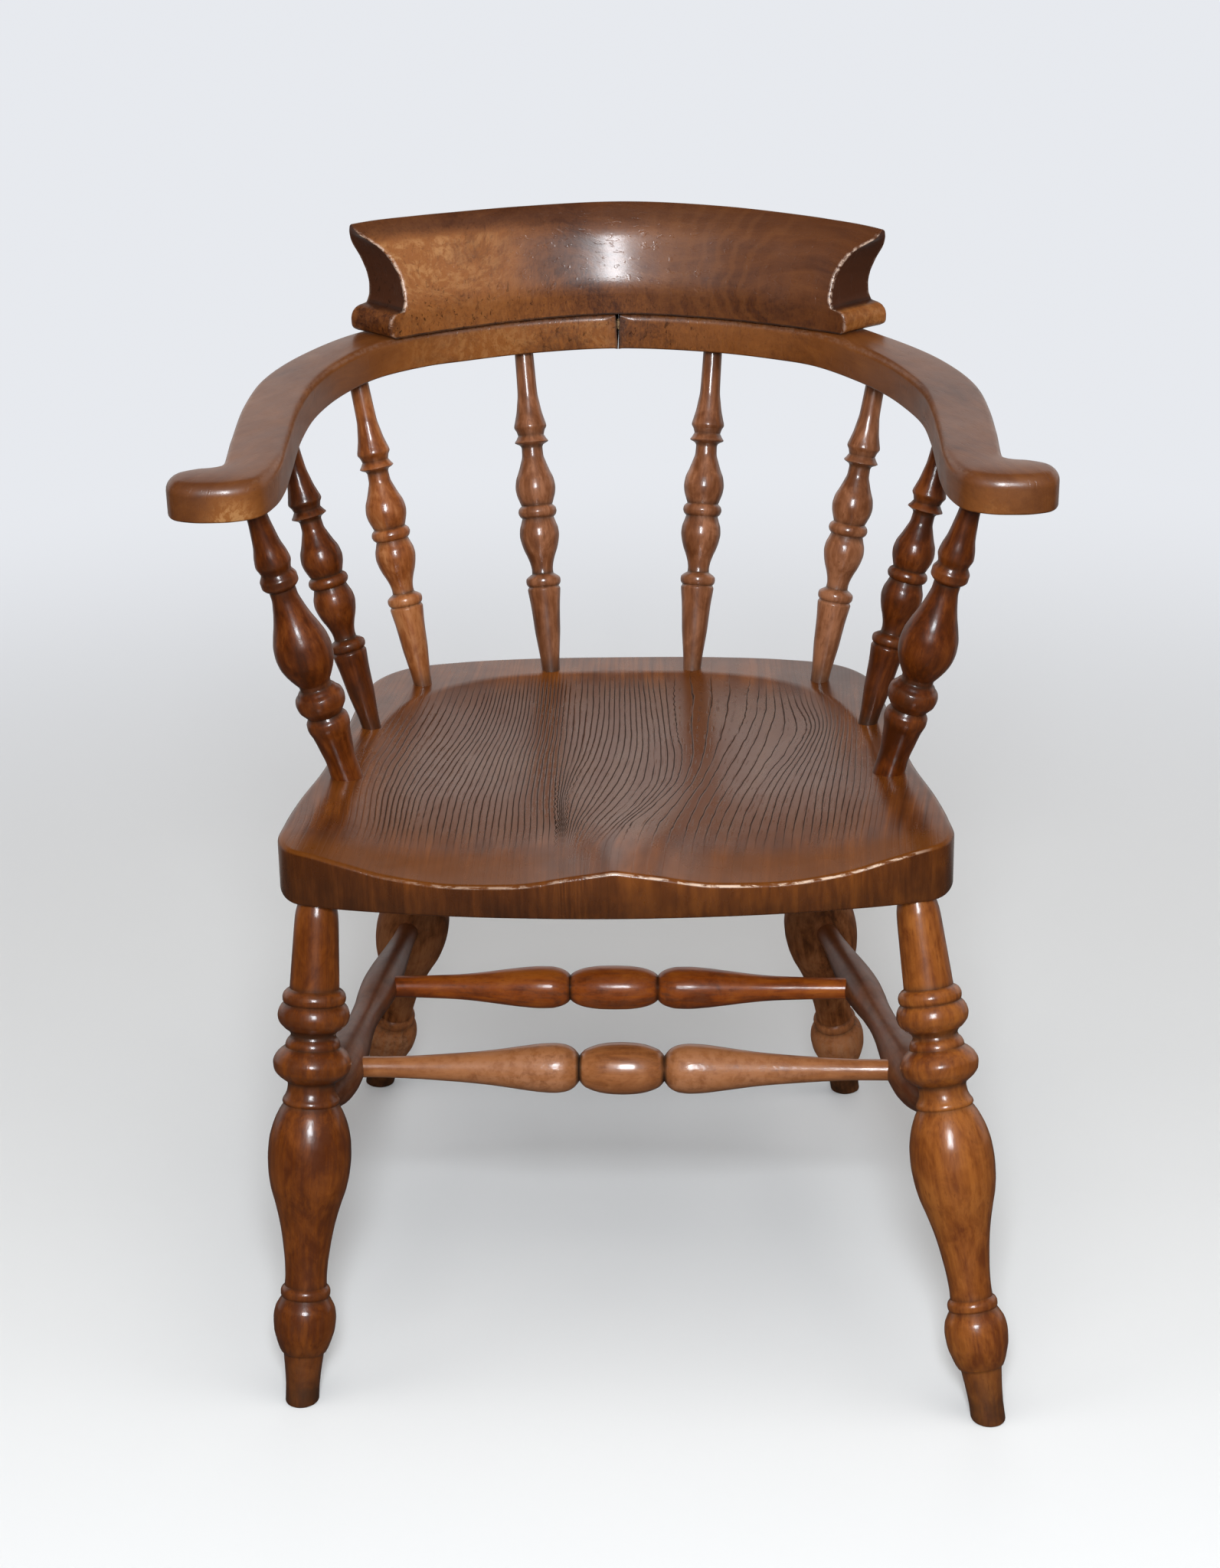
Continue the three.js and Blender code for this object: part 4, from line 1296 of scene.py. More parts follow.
@dataclass
class Board(Part):
    """A thick board cut to an outline, with rounded edges and a shaped top."""

    rounding_steps: int = 6
    rim_steps: Pair = (1.5, 4.0)
    sharpest_corner: float = -0.7
    grid: float = 6.0
    grid_row: float = 0.866
    gap_to_extra: float = 0.6
    gap_to_rim: float = 0.55

    def board(
        self,
        outline: Array,
        top: Callable[[Array], Array],
        bottom: Callable[[Array], Array],
        top_round: Array,
        bottom_round: Array,
        extra: Optional[Array] = None,
    ) -> tuple[Array, list[list[int]], Array]:
        """Makes the board's surface.

        Args:
            outline: its outline seen from above, counter-clockwise.
            top: the height of its top at plan places.
            bottom: the height of its underside at plan places.
            top_round: the rounding of its upper edge at each outline point.
            bottom_round: the rounding of its lower edge at each outline point.
            extra: plan places that the top's net has to pass through.

        Returns:
            The places, the faces, and each place's distance from the outline.
        """
        count = len(outline)
        rings: list[Array] = []
        edge: list[Array] = []
        angles = np.linspace(0, math.pi / 2, self.rounding_steps + 1)
        before, after = (loop - outline for loop in (np.roll(outline, 1, 0), np.roll(outline, -1, 0)))
        bend = np.sum(before * after, 1) / np.linalg.norm(before, axis=1) / np.linalg.norm(after, axis=1)
        free = np.where(bend < self.sharpest_corner, 1.0, 0.0)
        for rounding, height, way in ((bottom_round, bottom, -1), (top_round, top, 1)):
            part = []
            for angle in angles:
                gone = rounding * (1 - math.cos(angle))
                loop = inset_loop(outline, gone)
                lift = height(loop) - way * rounding * (1 - math.sin(angle))
                part.append((np.column_stack([loop, lift]), gone))
            for further in self.rim_steps:
                gone = rounding + further * free
                loop = inset_loop(outline, gone)
                part.append((np.column_stack([loop, height(loop)]), gone))
            if way < 0:
                part.reverse()
            rings.extend(spots for spots, _ in part)
            edge.extend(gone for _, gone in part)
        spots = np.vstack(rings)
        reach = np.concatenate(edge)
        faces = loop_faces(len(rings), count)
        low = (self.fill(rings[0], bottom, None), 0, True)
        high = (self.fill(rings[-1], top, extra), (len(rings) - 1) * count, False)
        for (inner, triangles), first, flip in (low, high):
            base = len(spots)
            spots = np.vstack([spots, inner])
            reach = np.concatenate([reach, distance_to(outline, inner[:, :2])])
            for triangle in triangles:
                face = [first + v if v < count else base + v - count for v in triangle]
                faces.append(face[::-1] if flip else face)
        return spots, faces, reach

    def fill(
        self, ring: Array, height: Callable[[Array], Array], extra: Optional[Array]
    ) -> tuple[Array, list[list[int]]]:
        """Fills a ring with a net of triangles that follows a height.

        Args:
            ring: the ring's places, counter-clockwise.
            height: the surface's height at plan places.
            extra: plan places that the net has to pass through.

        Returns:
            The net's own places, and its triangles: the ring's places come first in their numbering.
        """
        loop = ring[:, :2]
        low, high = loop.min(0), loop.max(0)
        xs = np.arange(low[0], high[0], self.grid)
        ys = np.arange(low[1], high[1], self.grid * self.grid_row)
        net = np.array([(x + (k % 2) * self.grid / 2, y) for k, y in enumerate(ys) for x in xs])
        if extra is not None:
            net = net[distance_to(extra, net) > self.grid * self.gap_to_extra]
            net = np.vstack([net, extra])
        away = distance_to(loop, net) > self.grid * self.gap_to_rim
        net = net[self.within(loop, net) & away]
        every = [Vector(p) for p in np.vstack([loop, net])]
        count = len(loop)
        ring_edges = [(i, (i + 1) % count) for i in range(count)]
        made, _, triangles, origin, _, _ = delaunay_2d_cdt(every, ring_edges, [], 1, 1e-6)
        back = []
        for place, sources in zip(made, origin):
            if not sources:
                every.append(place)
                net = np.vstack([net, list(place)])
            back.append(sources[0] if sources else len(every) - 1)
        result = []
        for triangle in triangles:
            a, b, c = (back[v] for v in triangle)
            p, q, r = (every[v] for v in (a, b, c))
            turned = (q.x - p.x) * (r.y - p.y) - (q.y - p.y) * (r.x - p.x) > 0
            result.append([a, b, c] if turned else [a, c, b])
        return np.column_stack([net, height(net)]), result

    @staticmethod
    def within(loop: Array, spots: Array) -> Array:
        """Finds which spots lie inside a loop.

        Args:
            loop: the loop's points.
            spots: the plane places.

        Returns:
            Whether each one does.
        """
        inside = np.zeros(len(spots), bool)
        x, y = spots[:, 0], spots[:, 1]
        for (ax, ay), (bx, by) in zip(loop, np.roll(loop, -1, axis=0)):
            crosses = (ay > y) != (by > y)
            with np.errstate(divide="ignore", invalid="ignore"):
                at = (bx - ax) * (y - ay) / (by - ay) + ax
            inside ^= crosses & (x < at)
        return inside


@dataclass
class Seat(Board):
    """The saddled seat."""

    top_height: float = 437.0
    thickness: float = 47.5
    half_width: float = 257.0
    back_reach: float = 262.0
    edge_round: float = 5.0
    ridge_round: float = 3.6
    dish_depth: float = 13.0
    dish_half_width: float = 207.0
    dish_back_reach: float = 220.0
    dish_middle: float = -30.0
    dish_squareness: float = 3.0
    dish_power: int = 4
    crease_points: int = 160
    crease_shares: Spot = (0.985, 1.0, 1.015)
    outline_step: float = 4.0
    front_band: Pair = (120, 60)
    front_under_round: float = 2.4
    top_skin: float = 2.5
    sat_rim: Pair = (0.86, 0.16)
    sat_front: Pair = (92, 56)
    ridge_drops: Pair = (0.5, 2.2)
    ridge_front: float = 150
    ridge_wear: Pair = (0.35, 0.5)
    wear_rise: Pair = (-60, 120)
    wear_from: Pair = (-190, 70)
    wear_to: Pair = (-245, 40)
    low_edge_darkening: Spot = (0.5, 1, 8)
    dull_band: Pair = (124.0, 34)
    dull_gap: float = 55.0
    pace_reach: float = 1.5
    side_shares: Table = (
        (0, 1), (0.317, 0.992), (0.556, 0.961), (0.734, 0.903), (0.825, 0.795), (0.861, 0.64), (0.889, 0.31),
        (0.925, -0.025),
    )
    front_shares: Table = (
        (0.972, 0.347), (0.996, 0.571), (1, 0.72), (0.956, 0.83), (0.861, 0.877), (0.651, 0.933),
        (0.373, 0.978),
    )
    grain_rows: Table = (
        (-260, -205, -165, -108, -40, -36, -30, -20, -2, 44, 64, 84, 150, 172),
        (-150, -193, -160, -105, -44, -40, -33, -17, 2, 50, 70, 94, 152, 175),
        (-100, -189, -159, -104, -45, -40, -28, -1, 9, 56, 76, 100, 157, 181),
        (-50, -190, -157, -103, -48, -40, -14, 18, 31, 65, 87, 110, 162, 189),
        (0, -188, -149, -99, -49, -34, -2, 30, 47, 76, 100, 124, 169, 194),
        (50, -181, -139, -95, -49, -25, 5, 32, 50, 88, 111, 142, 176, 197),
        (100, -174, -128, -89, -48, -20, 7, 31, 46, 100, 121, 154, 182, 199),
        (150, -166, -121, -86, -48, -18, 6, 28, 44, 108, 129, 146, 184, 201),
        (200, -160, -116, -85, -47, -18, 5, 25, 43, 112, 128, 142, 186, 203),
        (262, -152, -112, -84, -46, -18, 4, 24, 42, 113, 127, 141, 188, 205),
    )
    grain_depths: tuple[float, ...] = (-190, -152, -104, -48, -20, 6, 30, 46, 66, 78, 92, 132, 156)
    front_drops: Table = (
        (0, 8.5), (30, 13), (77, 20.6), (120, 21.8), (170, 17.5), (205, 10), (240, 3.5), (270, 2),
    )

    def outline(self) -> Array:
        """Draws the seat's outline.

        Returns:
            Its points seen from above, counter-clockwise.
        """
        side = [(x * self.half_width, y * self.back_reach) for x, y in self.side_shares]
        front = [(x * self.half_width, -y * self.seat_front_reach) for x, y in self.front_shares]
        right = [*side[1:], *front]
        left = [(-x, y) for x, y in reversed(right)]
        whole = [side[0], *right, (0, -self.seat_front_reach), *left]
        return counter_clockwise(even_loop(smooth_curve(whole, True), self.outline_step))

    def reach(self, spots: Array) -> Array:
        """Measures how far places lie from the dish's middle.

        Args:
            spots: plan places.

        Returns:
            The distances, which are 1 on the dish's edge.
        """
        across = np.abs(spots[:, 0]) / self.dish_half_width
        along = np.maximum(spots[:, 1] - self.dish_middle, 0) / (self.dish_back_reach - self.dish_middle)
        power = self.dish_squareness
        return (across**power + along**power) ** (1 / power)

    def top(self, spots: Array) -> Array:
        """Shapes the saddled top.

        Args:
            spots: plan places.

        Returns:
            Its height at each one.
        """
        reach = np.minimum(self.reach(spots), 1)
        dish = self.dish_depth * (1 - reach**self.dish_power)
        front = smooth_table(self.front_drops, np.abs(spots[:, 0]))
        frontness = ease((self.dish_middle - spots[:, 1]) / (self.seat_front_reach + self.dish_middle))
        return self.top_height - (dish + frontness * (front - dish))

    def crease(self) -> Array:
        """Finds where the net of the top has to be close.

        Returns:
            Places along the dish's edge, and close beside it.
        """
        turn = np.linspace(0, math.pi, self.crease_points)
        power = 2 / self.dish_squareness
        x = np.sign(np.cos(turn)) * np.abs(np.cos(turn)) ** power * self.dish_half_width
        y = self.dish_middle + np.sin(turn) ** power * (self.dish_back_reach - self.dish_middle)
        edge = np.stack([x, y], 1)
        middle = np.array([0, self.dish_middle])
        return np.vstack([middle + (edge - middle) * share for share in self.crease_shares])

    def rings(self, spots: Array) -> Array:
        """Reads how deep in the growth rings places lie.

        Args:
            spots: plan places.

        Returns:
            The depths, whose level lines are the lines of the grain.
        """
        y = np.array([row[0] for row in self.grain_rows])
        lines = np.array([row[1:] for row in self.grain_rows])
        depth = np.array(self.grain_depths)
        depths = np.clip(spots[:, 1], y[0], y[-1])
        crossing = np.stack([smooth_table(list(zip(y, line)), depths) for line in lines.T], 1)
        result = np.empty(len(spots))
        for i, (x, at) in enumerate(zip(spots[:, 0], crossing)):
            result[i] = np.interp(x, at, depth) + min(x - at[0], 0) + max(x - at[-1], 0)
        return result

    def build(self, finish: Material) -> None:
        """Makes the seat.

        Args:
            finish: its material.
        """
        outline = self.outline()
        low = self.top_height - self.thickness
        frontness = fade(-outline[:, 1], self.front_band)
        spots, faces, _ = self.board(
            outline,
            self.top,
            lambda places: np.full(len(places), low),
            self.edge_round + (self.ridge_round - self.edge_round) * frontness,
            self.edge_round + (self.front_under_round - self.edge_round) * frontness,
            self.crease(),
        )
        plan, height = spots[:, :2], spots[:, 2]
        across, forward = plan[:, 0], -plan[:, 1]
        drop = self.top(plan) - height
        on_top = height > self.top(plan) - self.top_skin
        sat = (1 - fade(self.reach(plan), self.sat_rim)) * (1 - fade(forward, self.sat_front)) * on_top
        ridge = (drop > self.ridge_drops[0]) & (drop < self.ridge_drops[1]) & (forward > self.ridge_front)
        least, more = self.ridge_wear
        worn = ridge * (least + more * fade(across, self.wear_rise)) * fade(across, self.wear_from)
        worn *= fade(-across, self.wear_to)
        # Darker in a band just above the bottom of the seat's edge.
        dirt, edge_dark_from, edge_dark_to = self.low_edge_darkening
        grime = dirt * (height < low + edge_dark_to) * (height > low + edge_dark_from)
        dull = on_top * fade(forward, self.dull_band) * (1 - bell(across, 0, self.dull_gap))
        aside = np.array([self.pace_reach, 0])
        marks = {
            "grain": spots * MM,
            "rings": self.rings(plan),
            "pace": (self.rings(plan + aside) - self.rings(plan - aside)) / (2 * self.pace_reach),
            "sat": sat.astype(float),
            "dull": dull.astype(float),
            "worn": np.clip(worn, 0, 1),
            "grime": grime.astype(float),
        }
        piece = self.mesh("seat", spots, faces, marks)
        self.settle(piece, "seat", "seat_wood", finish)


@dataclass
class Bow(Board):
    """The two arms, which meet in a butt joint at the back, in a plane that rises to the back."""

    bow_height: float = 675.9
    slope: float = 0.091
    thickness: float = 31.0
    arm_width: float = 46.0
    waist: float = 39.0
    waist_reach: float = 120.0
    half_span: float = 250.0
    back_reach: float = 302.0
    paddle_overhang: float = 85.7
    paddle_front: float = 91.0
    crest_depth: float = 42.75
    crest_half_length: float = 210.0
    joint_gap: float = 0.4
    inner_round: float = 5.5
    outer_round: float = 3.5
    under_round: float = 2.2
    crown: float = 1.0
    paddle_crown: float = 2.4
    paddle_round: float = 8.0
    wedge: float = 1.9
    wedge_from: float = 9
    wedge_power: float = 1.3
    seam_reach: float = 2
    butt_round: float = 0.6
    seam_round: float = 0.1
    seam_band: Pair = (1, 12)
    closed_from: float = 20
    closed_gap: float = 0.02
    line_points: int = 401
    middle_points: int = 600
    outline_step: float = 3.2
    inside_middle: Pair = (0, 60)
    round_band: Pair = (25, 30)
    round_blur: float = 3
    crown_band: Pair = (20, 35)
    crown_reach: float = 22
    grain_lean: float = 33.0
    grain_shift: float = 300
    burr_fall: Pair = (1.1, 210)
    burr_limits: Pair = (0.1, 0.9)
    seam_dirt: Pair = (1.2, 2.5)
    underside_darkening: Pair = (0.35, 1.2)
    edge_band: Pair = (1.5, 2.5)
    edge_reach: float = 4
    edge_wear: float = 0.06
    top_shade: float = -0.2
    top_band: Pair = (-6, 4)
    face_shade: float = 0.1
    paddle_band: Pair = (35, 40)
    crest_band: Pair = (215, 60)
    # The glow fields place a bright gold patch on each paddle's front: partly the wood's gold, partly painted
    # light.
    glow_across: Pair = (284, 21)
    glow_down: Pair = (4, 14)
    glow: dict[Side, Pair] = one_each(Side, (1.5, -0.12), (0.75, -0.05))
    crest_glow: dict[Side, float] = one_each(Side, 0.75, 0.35)
    left_shares: Table = (
        (0, 1), (0.3, 0.965), (0.536, 0.9), (0.64, 0.866), (0.8, 0.77), (0.904, 0.635), (0.972, 0.47),
        (1, 0.281), (1.002, 0.033),
    )
    right_shares: Table = (
        (0, 1), (0.32, 0.956), (0.532, 0.889), (0.66, 0.83), (0.796, 0.702), (0.883, 0.587), (0.936, 0.485),
        (0.984, 0.352), (1, 0.199), (1.002, 0.033),
    )
    paddle_inner_shares: Table = ((1.004, -0.33), (1.02, -0.64), (1.06, -0.88))
    paddle_tip_shares: Table = (
        (0.387, -0.98), (0.582, -1), (0.766, -0.99), (0.941, -0.92), (1, -0.77), (0.953, -0.62),
        (0.766, -0.515), (0.63, -0.492), (0.566, -0.463), (0.54, -0.4),
    )

    def frame(self) -> Matrix:
        """The bow's own frame in the plan frame: flat, with its underside at 0."""
        lean = Matrix.Rotation(math.atan(self.slope), 4, "X")
        return Matrix.Translation((0, 0, self.bow_height * MM)) @ lean

    def inner_line(self) -> Ribbon:
        """Draws the bow's inner edge.

        Returns:
            The curve, from the left paddle to the right one.
        """
        left = [(-x * self.half_span, y * self.back_reach) for x, y in reversed(self.left_shares[1:])]
        right = [(x * self.half_span, y * self.back_reach) for x, y in self.right_shares]
        return Ribbon(smooth_curve([*left, *right], False))

    def width_at(self, share: Array, length: float) -> Array:
        """Reads the arms' width.

        Args:
            share: shares of the bow's length.
            length: that length.

        Returns:
            The width at each share.
        """
        from_middle = np.abs(share - 0.5) * length
        past = ease((from_middle - self.crest_half_length) / self.waist_reach)
        under = ease((self.crest_half_length - from_middle) / self.waist_reach)
        return self.waist + past * (self.arm_width - self.waist) + under * (self.crest_depth - self.waist)

    def arm_outline(self, side: Side) -> Array:
        """One arm's outline seen from above, counter-clockwise.

        Args:
            side: the arm's side.

        Returns:
            The outline's points, with the two corners of its butt end.
        """
        ribbon = self.inner_line()
        shares = np.linspace(0, 1, self.line_points)
        inner = ribbon.spots(shares, np.zeros(len(shares)))
        outer = ribbon.spots(shares, self.width_at(shares, ribbon.length))
        gap = self.joint_gap / 2
        keep = side.value
        inner = inner[inner[:, 0] * keep > gap]
        outer = outer[outer[:, 0] * keep > gap]
        if side is Side.LEFT:
            inner, outer = inner[::-1], outer[::-1]
        span, front = self.half_span, self.paddle_front
        tip = [
            (keep * inner[-1][0], inner[-1][1]),
            *[(x * span, y * front) for x, y in self.paddle_inner_shares],
            *[(span + x * self.paddle_overhang, y * front) for x, y in self.paddle_tip_shares],
            (keep * outer[-1][0], outer[-1][1]),
        ]
        paddle = smooth_curve(tip, False)[1:-1] * np.array([keep, 1])
        corner_in, corner_out = (
            [gap * keep, np.interp(gap, np.abs(line[:, 0]), line[:, 1])] for line in (inner, outer)
        )
        path = np.vstack([corner_in, inner, paddle, outer[::-1], corner_out])
        along = lengths_along(path)
        at = np.linspace(0, along[-1], int(along[-1] / self.outline_step))
        return counter_clockwise(read_line(path, along, at))

    def shade(self, side: Side, plan: Array, height: Array) -> Array:
        """How light the polish is: darker on top, golden under the crest and on the front of the paddles,
        with a bright patch there that is partly the wood's gold and partly painted light.

        Args:
            side: the arm's side.
            plan: places in the bow's plane.
            height: their heights in the bow.

        Returns:
            The lightness, from -1 for the darkest to 1.
        """
        # Painted light, partly the wood's gold: a bright patch low in the middle of each paddle's front,
        # stronger on the left.
        down = ease((self.thickness - self.glow_down[0] - height) / self.glow_down[1])
        glow = bell(np.abs(plan[:, 0]), *self.glow_across) * down
        strength, shift = self.glow[side]
        at_paddle = (strength * glow + shift - self.face_shade) * fade(-plan[:, 1], self.paddle_band)
        at_crest = (self.crest_glow[side] - self.face_shade) * fade(plan[:, 1], self.crest_band)
        face = self.face_shade + at_paddle + at_crest
        return face + (self.top_shade - face) * fade(height - self.thickness, self.top_band)

    def upper_round(self, outline: Array, middle_line: Array) -> Array:
        """Reads how round the arm's upper edge is.

        Args:
            outline: the arm's outline.
            middle_line: the middle of the arms' width.

        Returns:
            The rounding at each point of the outline.
        """
        nearest = np.argmin(np.linalg.norm(outline[:, None] - middle_line[None], axis=2), axis=1)
        away = outline - middle_line[nearest]
        outside = np.sum(away * (outline - np.array(self.inside_middle)), 1) > 0
        plain = np.where(outside, self.outer_round, self.inner_round)
        at_paddle = fade(-outline[:, 1], self.round_band)
        rounding = blurred(plain + (self.paddle_round - plain) * at_paddle, self.round_blur)
        kept = fade(np.abs(outline[:, 0]), self.seam_band) * (1 - self.seam_round) + self.seam_round
        return rounding * kept

    def marks(self, side: Side, spots: Array, reach: Array) -> dict[str, Array]:
        """Marks an arm for its finish.

        Args:
            side: the arm's side.
            spots: its places in the bow's own frame.
            reach: their distances from the outline.

        Returns:
            The marks by name.
        """
        plan, height = spots[:, :2], spots[:, 2]
        from_seam = np.abs(plan[:, 0])
        lean = math.radians(self.grain_lean) * side.value
        along = plan @ np.array([math.sin(lean), -math.cos(lean)])
        across = plan @ np.array([math.cos(lean), math.sin(lean)]) + self.grain_shift * side.value
        # Darker along the butt joint's seam and along the arms' underside.
        seam = np.clip(self.seam_dirt[0] - from_seam / self.seam_dirt[1], 0, 1)
        from_edge = np.abs(height - self.thickness + self.edge_band[0])
        edge = (from_edge < self.edge_band[1]) & (reach < self.edge_reach)
        return {
            "grain": np.column_stack([across, height, along]) * MM,
            "burr": np.clip(self.burr_fall[0] - from_seam / self.burr_fall[1], *self.burr_limits),
            "shade": self.shade(side, plan, height),
            "worn": self.edge_wear * edge.astype(float),
            "grime": np.clip(seam + self.underside_darkening[0] * (height < self.underside_darkening[1]), 0, 1),
        }

    def build(self, finish: Material) -> None:
        """Makes both arms.

        Args:
            finish: their material.
        """
        ribbon = self.inner_line()
        shares = np.linspace(0, 1, self.middle_points)
        middle_line = ribbon.spots(shares, self.width_at(shares, ribbon.length) / 2)
        for side in Side:
            outline = self.arm_outline(side)

            def top(places: Array) -> Array:
                """Shapes a top that is a little crowned across its width, and more at the paddle.

                Args:
                    places: plan places.

                Returns:
                    Its height at each one.
                """
                more = (self.paddle_crown - self.crown) * fade(-places[:, 1], self.crown_band)
                inward = np.minimum(distance_to(outline, places) / self.crown_reach, 1)
                return self.thickness - (self.crown + more) * (1 - inward) ** 2

            butt = np.abs(outline[:, 0]) < self.joint_gap
            spots, faces, reach = self.board(
                outline,
                top,
                lambda places: np.zeros(len(places)),
                np.where(butt, self.butt_round, self.upper_round(outline, middle_line)),
                np.where(butt, self.butt_round, self.under_round),
            )
            plan, height = spots[:, :2], spots[:, 2]
            off_seam, back = np.abs(plan[:, 0]), plan[:, 1] - self.back_reach
            at_seam = (off_seam < self.seam_reach) & (back < self.seam_reach)
            rise = np.clip((height - self.wedge_from) / (self.thickness - self.wedge_from), 0, 1)
            spots[:, 0] += side.value * at_seam * (self.wedge * rise**self.wedge_power)
            at_back = (np.abs(plan[:, 0]) < self.joint_gap) & (back > self.closed_from)
            spots[at_back, 0] = side.value * self.closed_gap
            name = f"{side.word}_arm"
            piece = self.mesh(name, spots, faces, self.marks(side, spots, reach), self.frame())
            self.settle(piece, name, "bow_wood", finish)


@dataclass
class CrestRail(Part):
    """The thick rail on top of the arms, with a rolled top edge and scrolled ends."""

    bow: Bow = field(default_factory=Bow)
    height: float = 87.95
    half_length: float = 210.0
    rest_gap: float = 0.3
    columns: int = 90
    end_columns: int = 12
    corner: float = 1.3
    face_shares: Table = ((0, 1), (0.3, 0.956), (0.536, 0.885), (0.64, 0.846), (0.76, 0.79), (0.9, 0.67))
    front_table: Table = (
        (0, 0.2), (0.012, 0), (0.2, 0), (0.25, 0.35), (0.307, 1.3), (0.364, 2.8), (0.409, 4.3),
        (0.4545, 5.9), (0.568, 10.1), (0.682, 14.5), (0.727, 16.3), (0.773, 18.5), (0.818, 21.1),
        (0.864, 24.2), (0.909, 27.8), (0.955, 31.9), (0.983, 35.1), (1, 37.5),
    )
    back_table: Table = ((0, 42.75), (0.9, 42.75), (0.96, 42), (0.985, 41), (1, 38.8))
    recess_table: Table = (
        (0, 12), (0.033, 9), (0.07, 7.8), (0.12, 7.3), (0.17, 8), (0.205, 10), (0.228, 14), (0.24, 20.6, 1),
        (0.323, 23.2), (0.4125, 23.7), (0.52, 23.3), (0.615, 21), (0.693, 18.3), (0.752, 15.3), (0.8, 12.2),
        (0.868, 6.2), (0.931, 1), (0.965, 0.2), (1, 0.2),
    )
    back_recess_table: Table = (
        (0, 2.6), (0.033, -0.6), (0.07, -1.7), (0.12, -1.8), (0.17, -0.9), (0.205, 1), (0.228, 4),
        (0.24, 9.2, 1), (0.323, 11.2), (0.4125, 11.5), (0.52, 10.4), (0.615, 8.3), (0.693, 6.2),
        (0.752, 4.2), (0.8, 2.5), (0.868, 0.9), (0.931, 0.3), (1, 0.2),
    )
    left_lift: float = 0.064
    right_drop: float = 0.045
    aside: float = 1.2
    levels: Table = ((0, 1, 70), (0.84, 1, 30), (0, 0.25, 40))
    skin: float = 0.8
    low_band: Pair = (0.1, 0.5)
    burr_amounts: Spot = (0.42, 0.3, 0.42)
    burr_limits: Pair = (0.1, 1)
    back_burr: float = 0.25
    golden_band: Pair = (0.12, 0.5)
    golden_amounts: Pair = (0.9, 0.4)
    dark_band: Pair = (0, 0.3)
    dark_amount: float = 0.35
    top_band: Pair = (0.8, 0.13)
    rolled_top_shade: float = 0.55
    back_shade: float = -0.1
    scroll_top: float = 0.236
    scroll_shades: Pair = (-0.2, 0.8)
    end_shade: float = -1.0
    arc_middle: Pair = (165, 40)
    arc_squash: float = 1.1
    arched_from: Pair = (10, 50)
    arched_to: Pair = (-195, 30)
    arched_beyond: Pair = (20, 45)
    wear_levels: Spot = (0.235, 0.92, 0.97)
    wear_amounts: Pair = (1.0, 0.4)
    hollow_levels: Pair = (0.225, 0.27)
    hollow_reach: float = 1
    cove_levels: Pair = (0.24, 0.9)
    cove_depths: Pair = (2.5, 0.5)
    foot_level: float = 0.016
    darkening_amounts: Spot = (0.5, 0.12, 0.85)
    most_corner: float = 0.4
    nip_share: float = 0.3
    rim: float = 0.992
    end_rims: Pair = (0.045, 0.955)
    end_band: Pair = (0.12, 0.88)
    rim_wear: float = 0.55
    end_wear: Pair = (0.5, 0.15)
    back_wear: Pair = (0.2, 0.3)

    def face(self) -> Ribbon:
        """The crest's front line, from left to right."""
        right = [(x * self.bow.half_span, y * self.bow.back_reach) for x, y in self.face_shares]
        return Ribbon(smooth_curve([*[(-x, y) for x, y in reversed(right[1:])], *right], False))

    def build(self, finish: Material) -> None:
        """Makes the crest rail.

        Args:
            finish: its material.
        """
        ribbon = self.face()
        rows = np.unique(np.concatenate([np.linspace(*part) for part in self.levels]))
        tables = (self.front_table, self.back_table, self.recess_table, self.back_recess_table)
        spots: list[Array] = []
        marks: list[dict[str, Array]] = []
        for row, near, far, cut, back_cut in zip(rows, *(smooth_table(table, rows) for table in tables)):
            s, t, edge = self.row_loop(near, far, cut, back_cut)
            reach = s / self.half_length
            stretch = 1 + np.where(reach < 0, self.left_lift, -self.right_drop) * reach**2
            level = self.bow.thickness + self.rest_gap + row * self.height * stretch
            spots.append(np.column_stack([ribbon.spots(0.5 + (s + self.aside) / ribbon.length, t), level]))
            # Darker in the hollow between each scroll and its cove, in the coves, and along the rail's foot.
            at_end = np.abs(s) > self.half_length - cut - self.hollow_reach
            hollow = self.between(row, self.hollow_levels) * at_end
            cove = self.between(row, self.cove_levels) * (t > near + self.cove_depths[0])
            in_hollow, in_cove, at_foot = self.darkening_amounts
            cove = in_cove * cove * (t < far - self.cove_depths[1])
            grime = np.clip(in_hollow * hollow + cove + at_foot * (row < self.foot_level), 0, 1)
            wear = self.wear_amounts[0 if self.between(row, self.wear_levels) else 1]
            row_marks = {
                "grain": np.column_stack([t, level, s]) * MM,
                "worn": edge * wear * (row < self.wear_levels[2]),
                "grime": grime,
            }
            marks.append(row_marks | self.figure(row, s, t < near + self.skin, t > far - self.skin))
        loop = len(spots[0])
        faces = loop_faces(len(rows), loop)
        for row, flip in ((0, True), (len(rows) - 1, False)):
            for face in self.cap(loop):
                face = [row * loop + v for v in face]
                faces.append(face[::-1] if flip else face)
        joined = {name: np.concatenate([row_marks[name] for row_marks in marks]) for name in marks[0]}
        piece = self.mesh("crest_rail", np.vstack(spots), faces, joined, self.bow.frame())
        self.settle(piece, "crest_rail", "bow_wood", finish)

    @staticmethod
    def between(row: float, levels: Sequence[float]) -> bool:
        """Whether a row lies between the first two of some levels."""
        return levels[0] < row < levels[1]

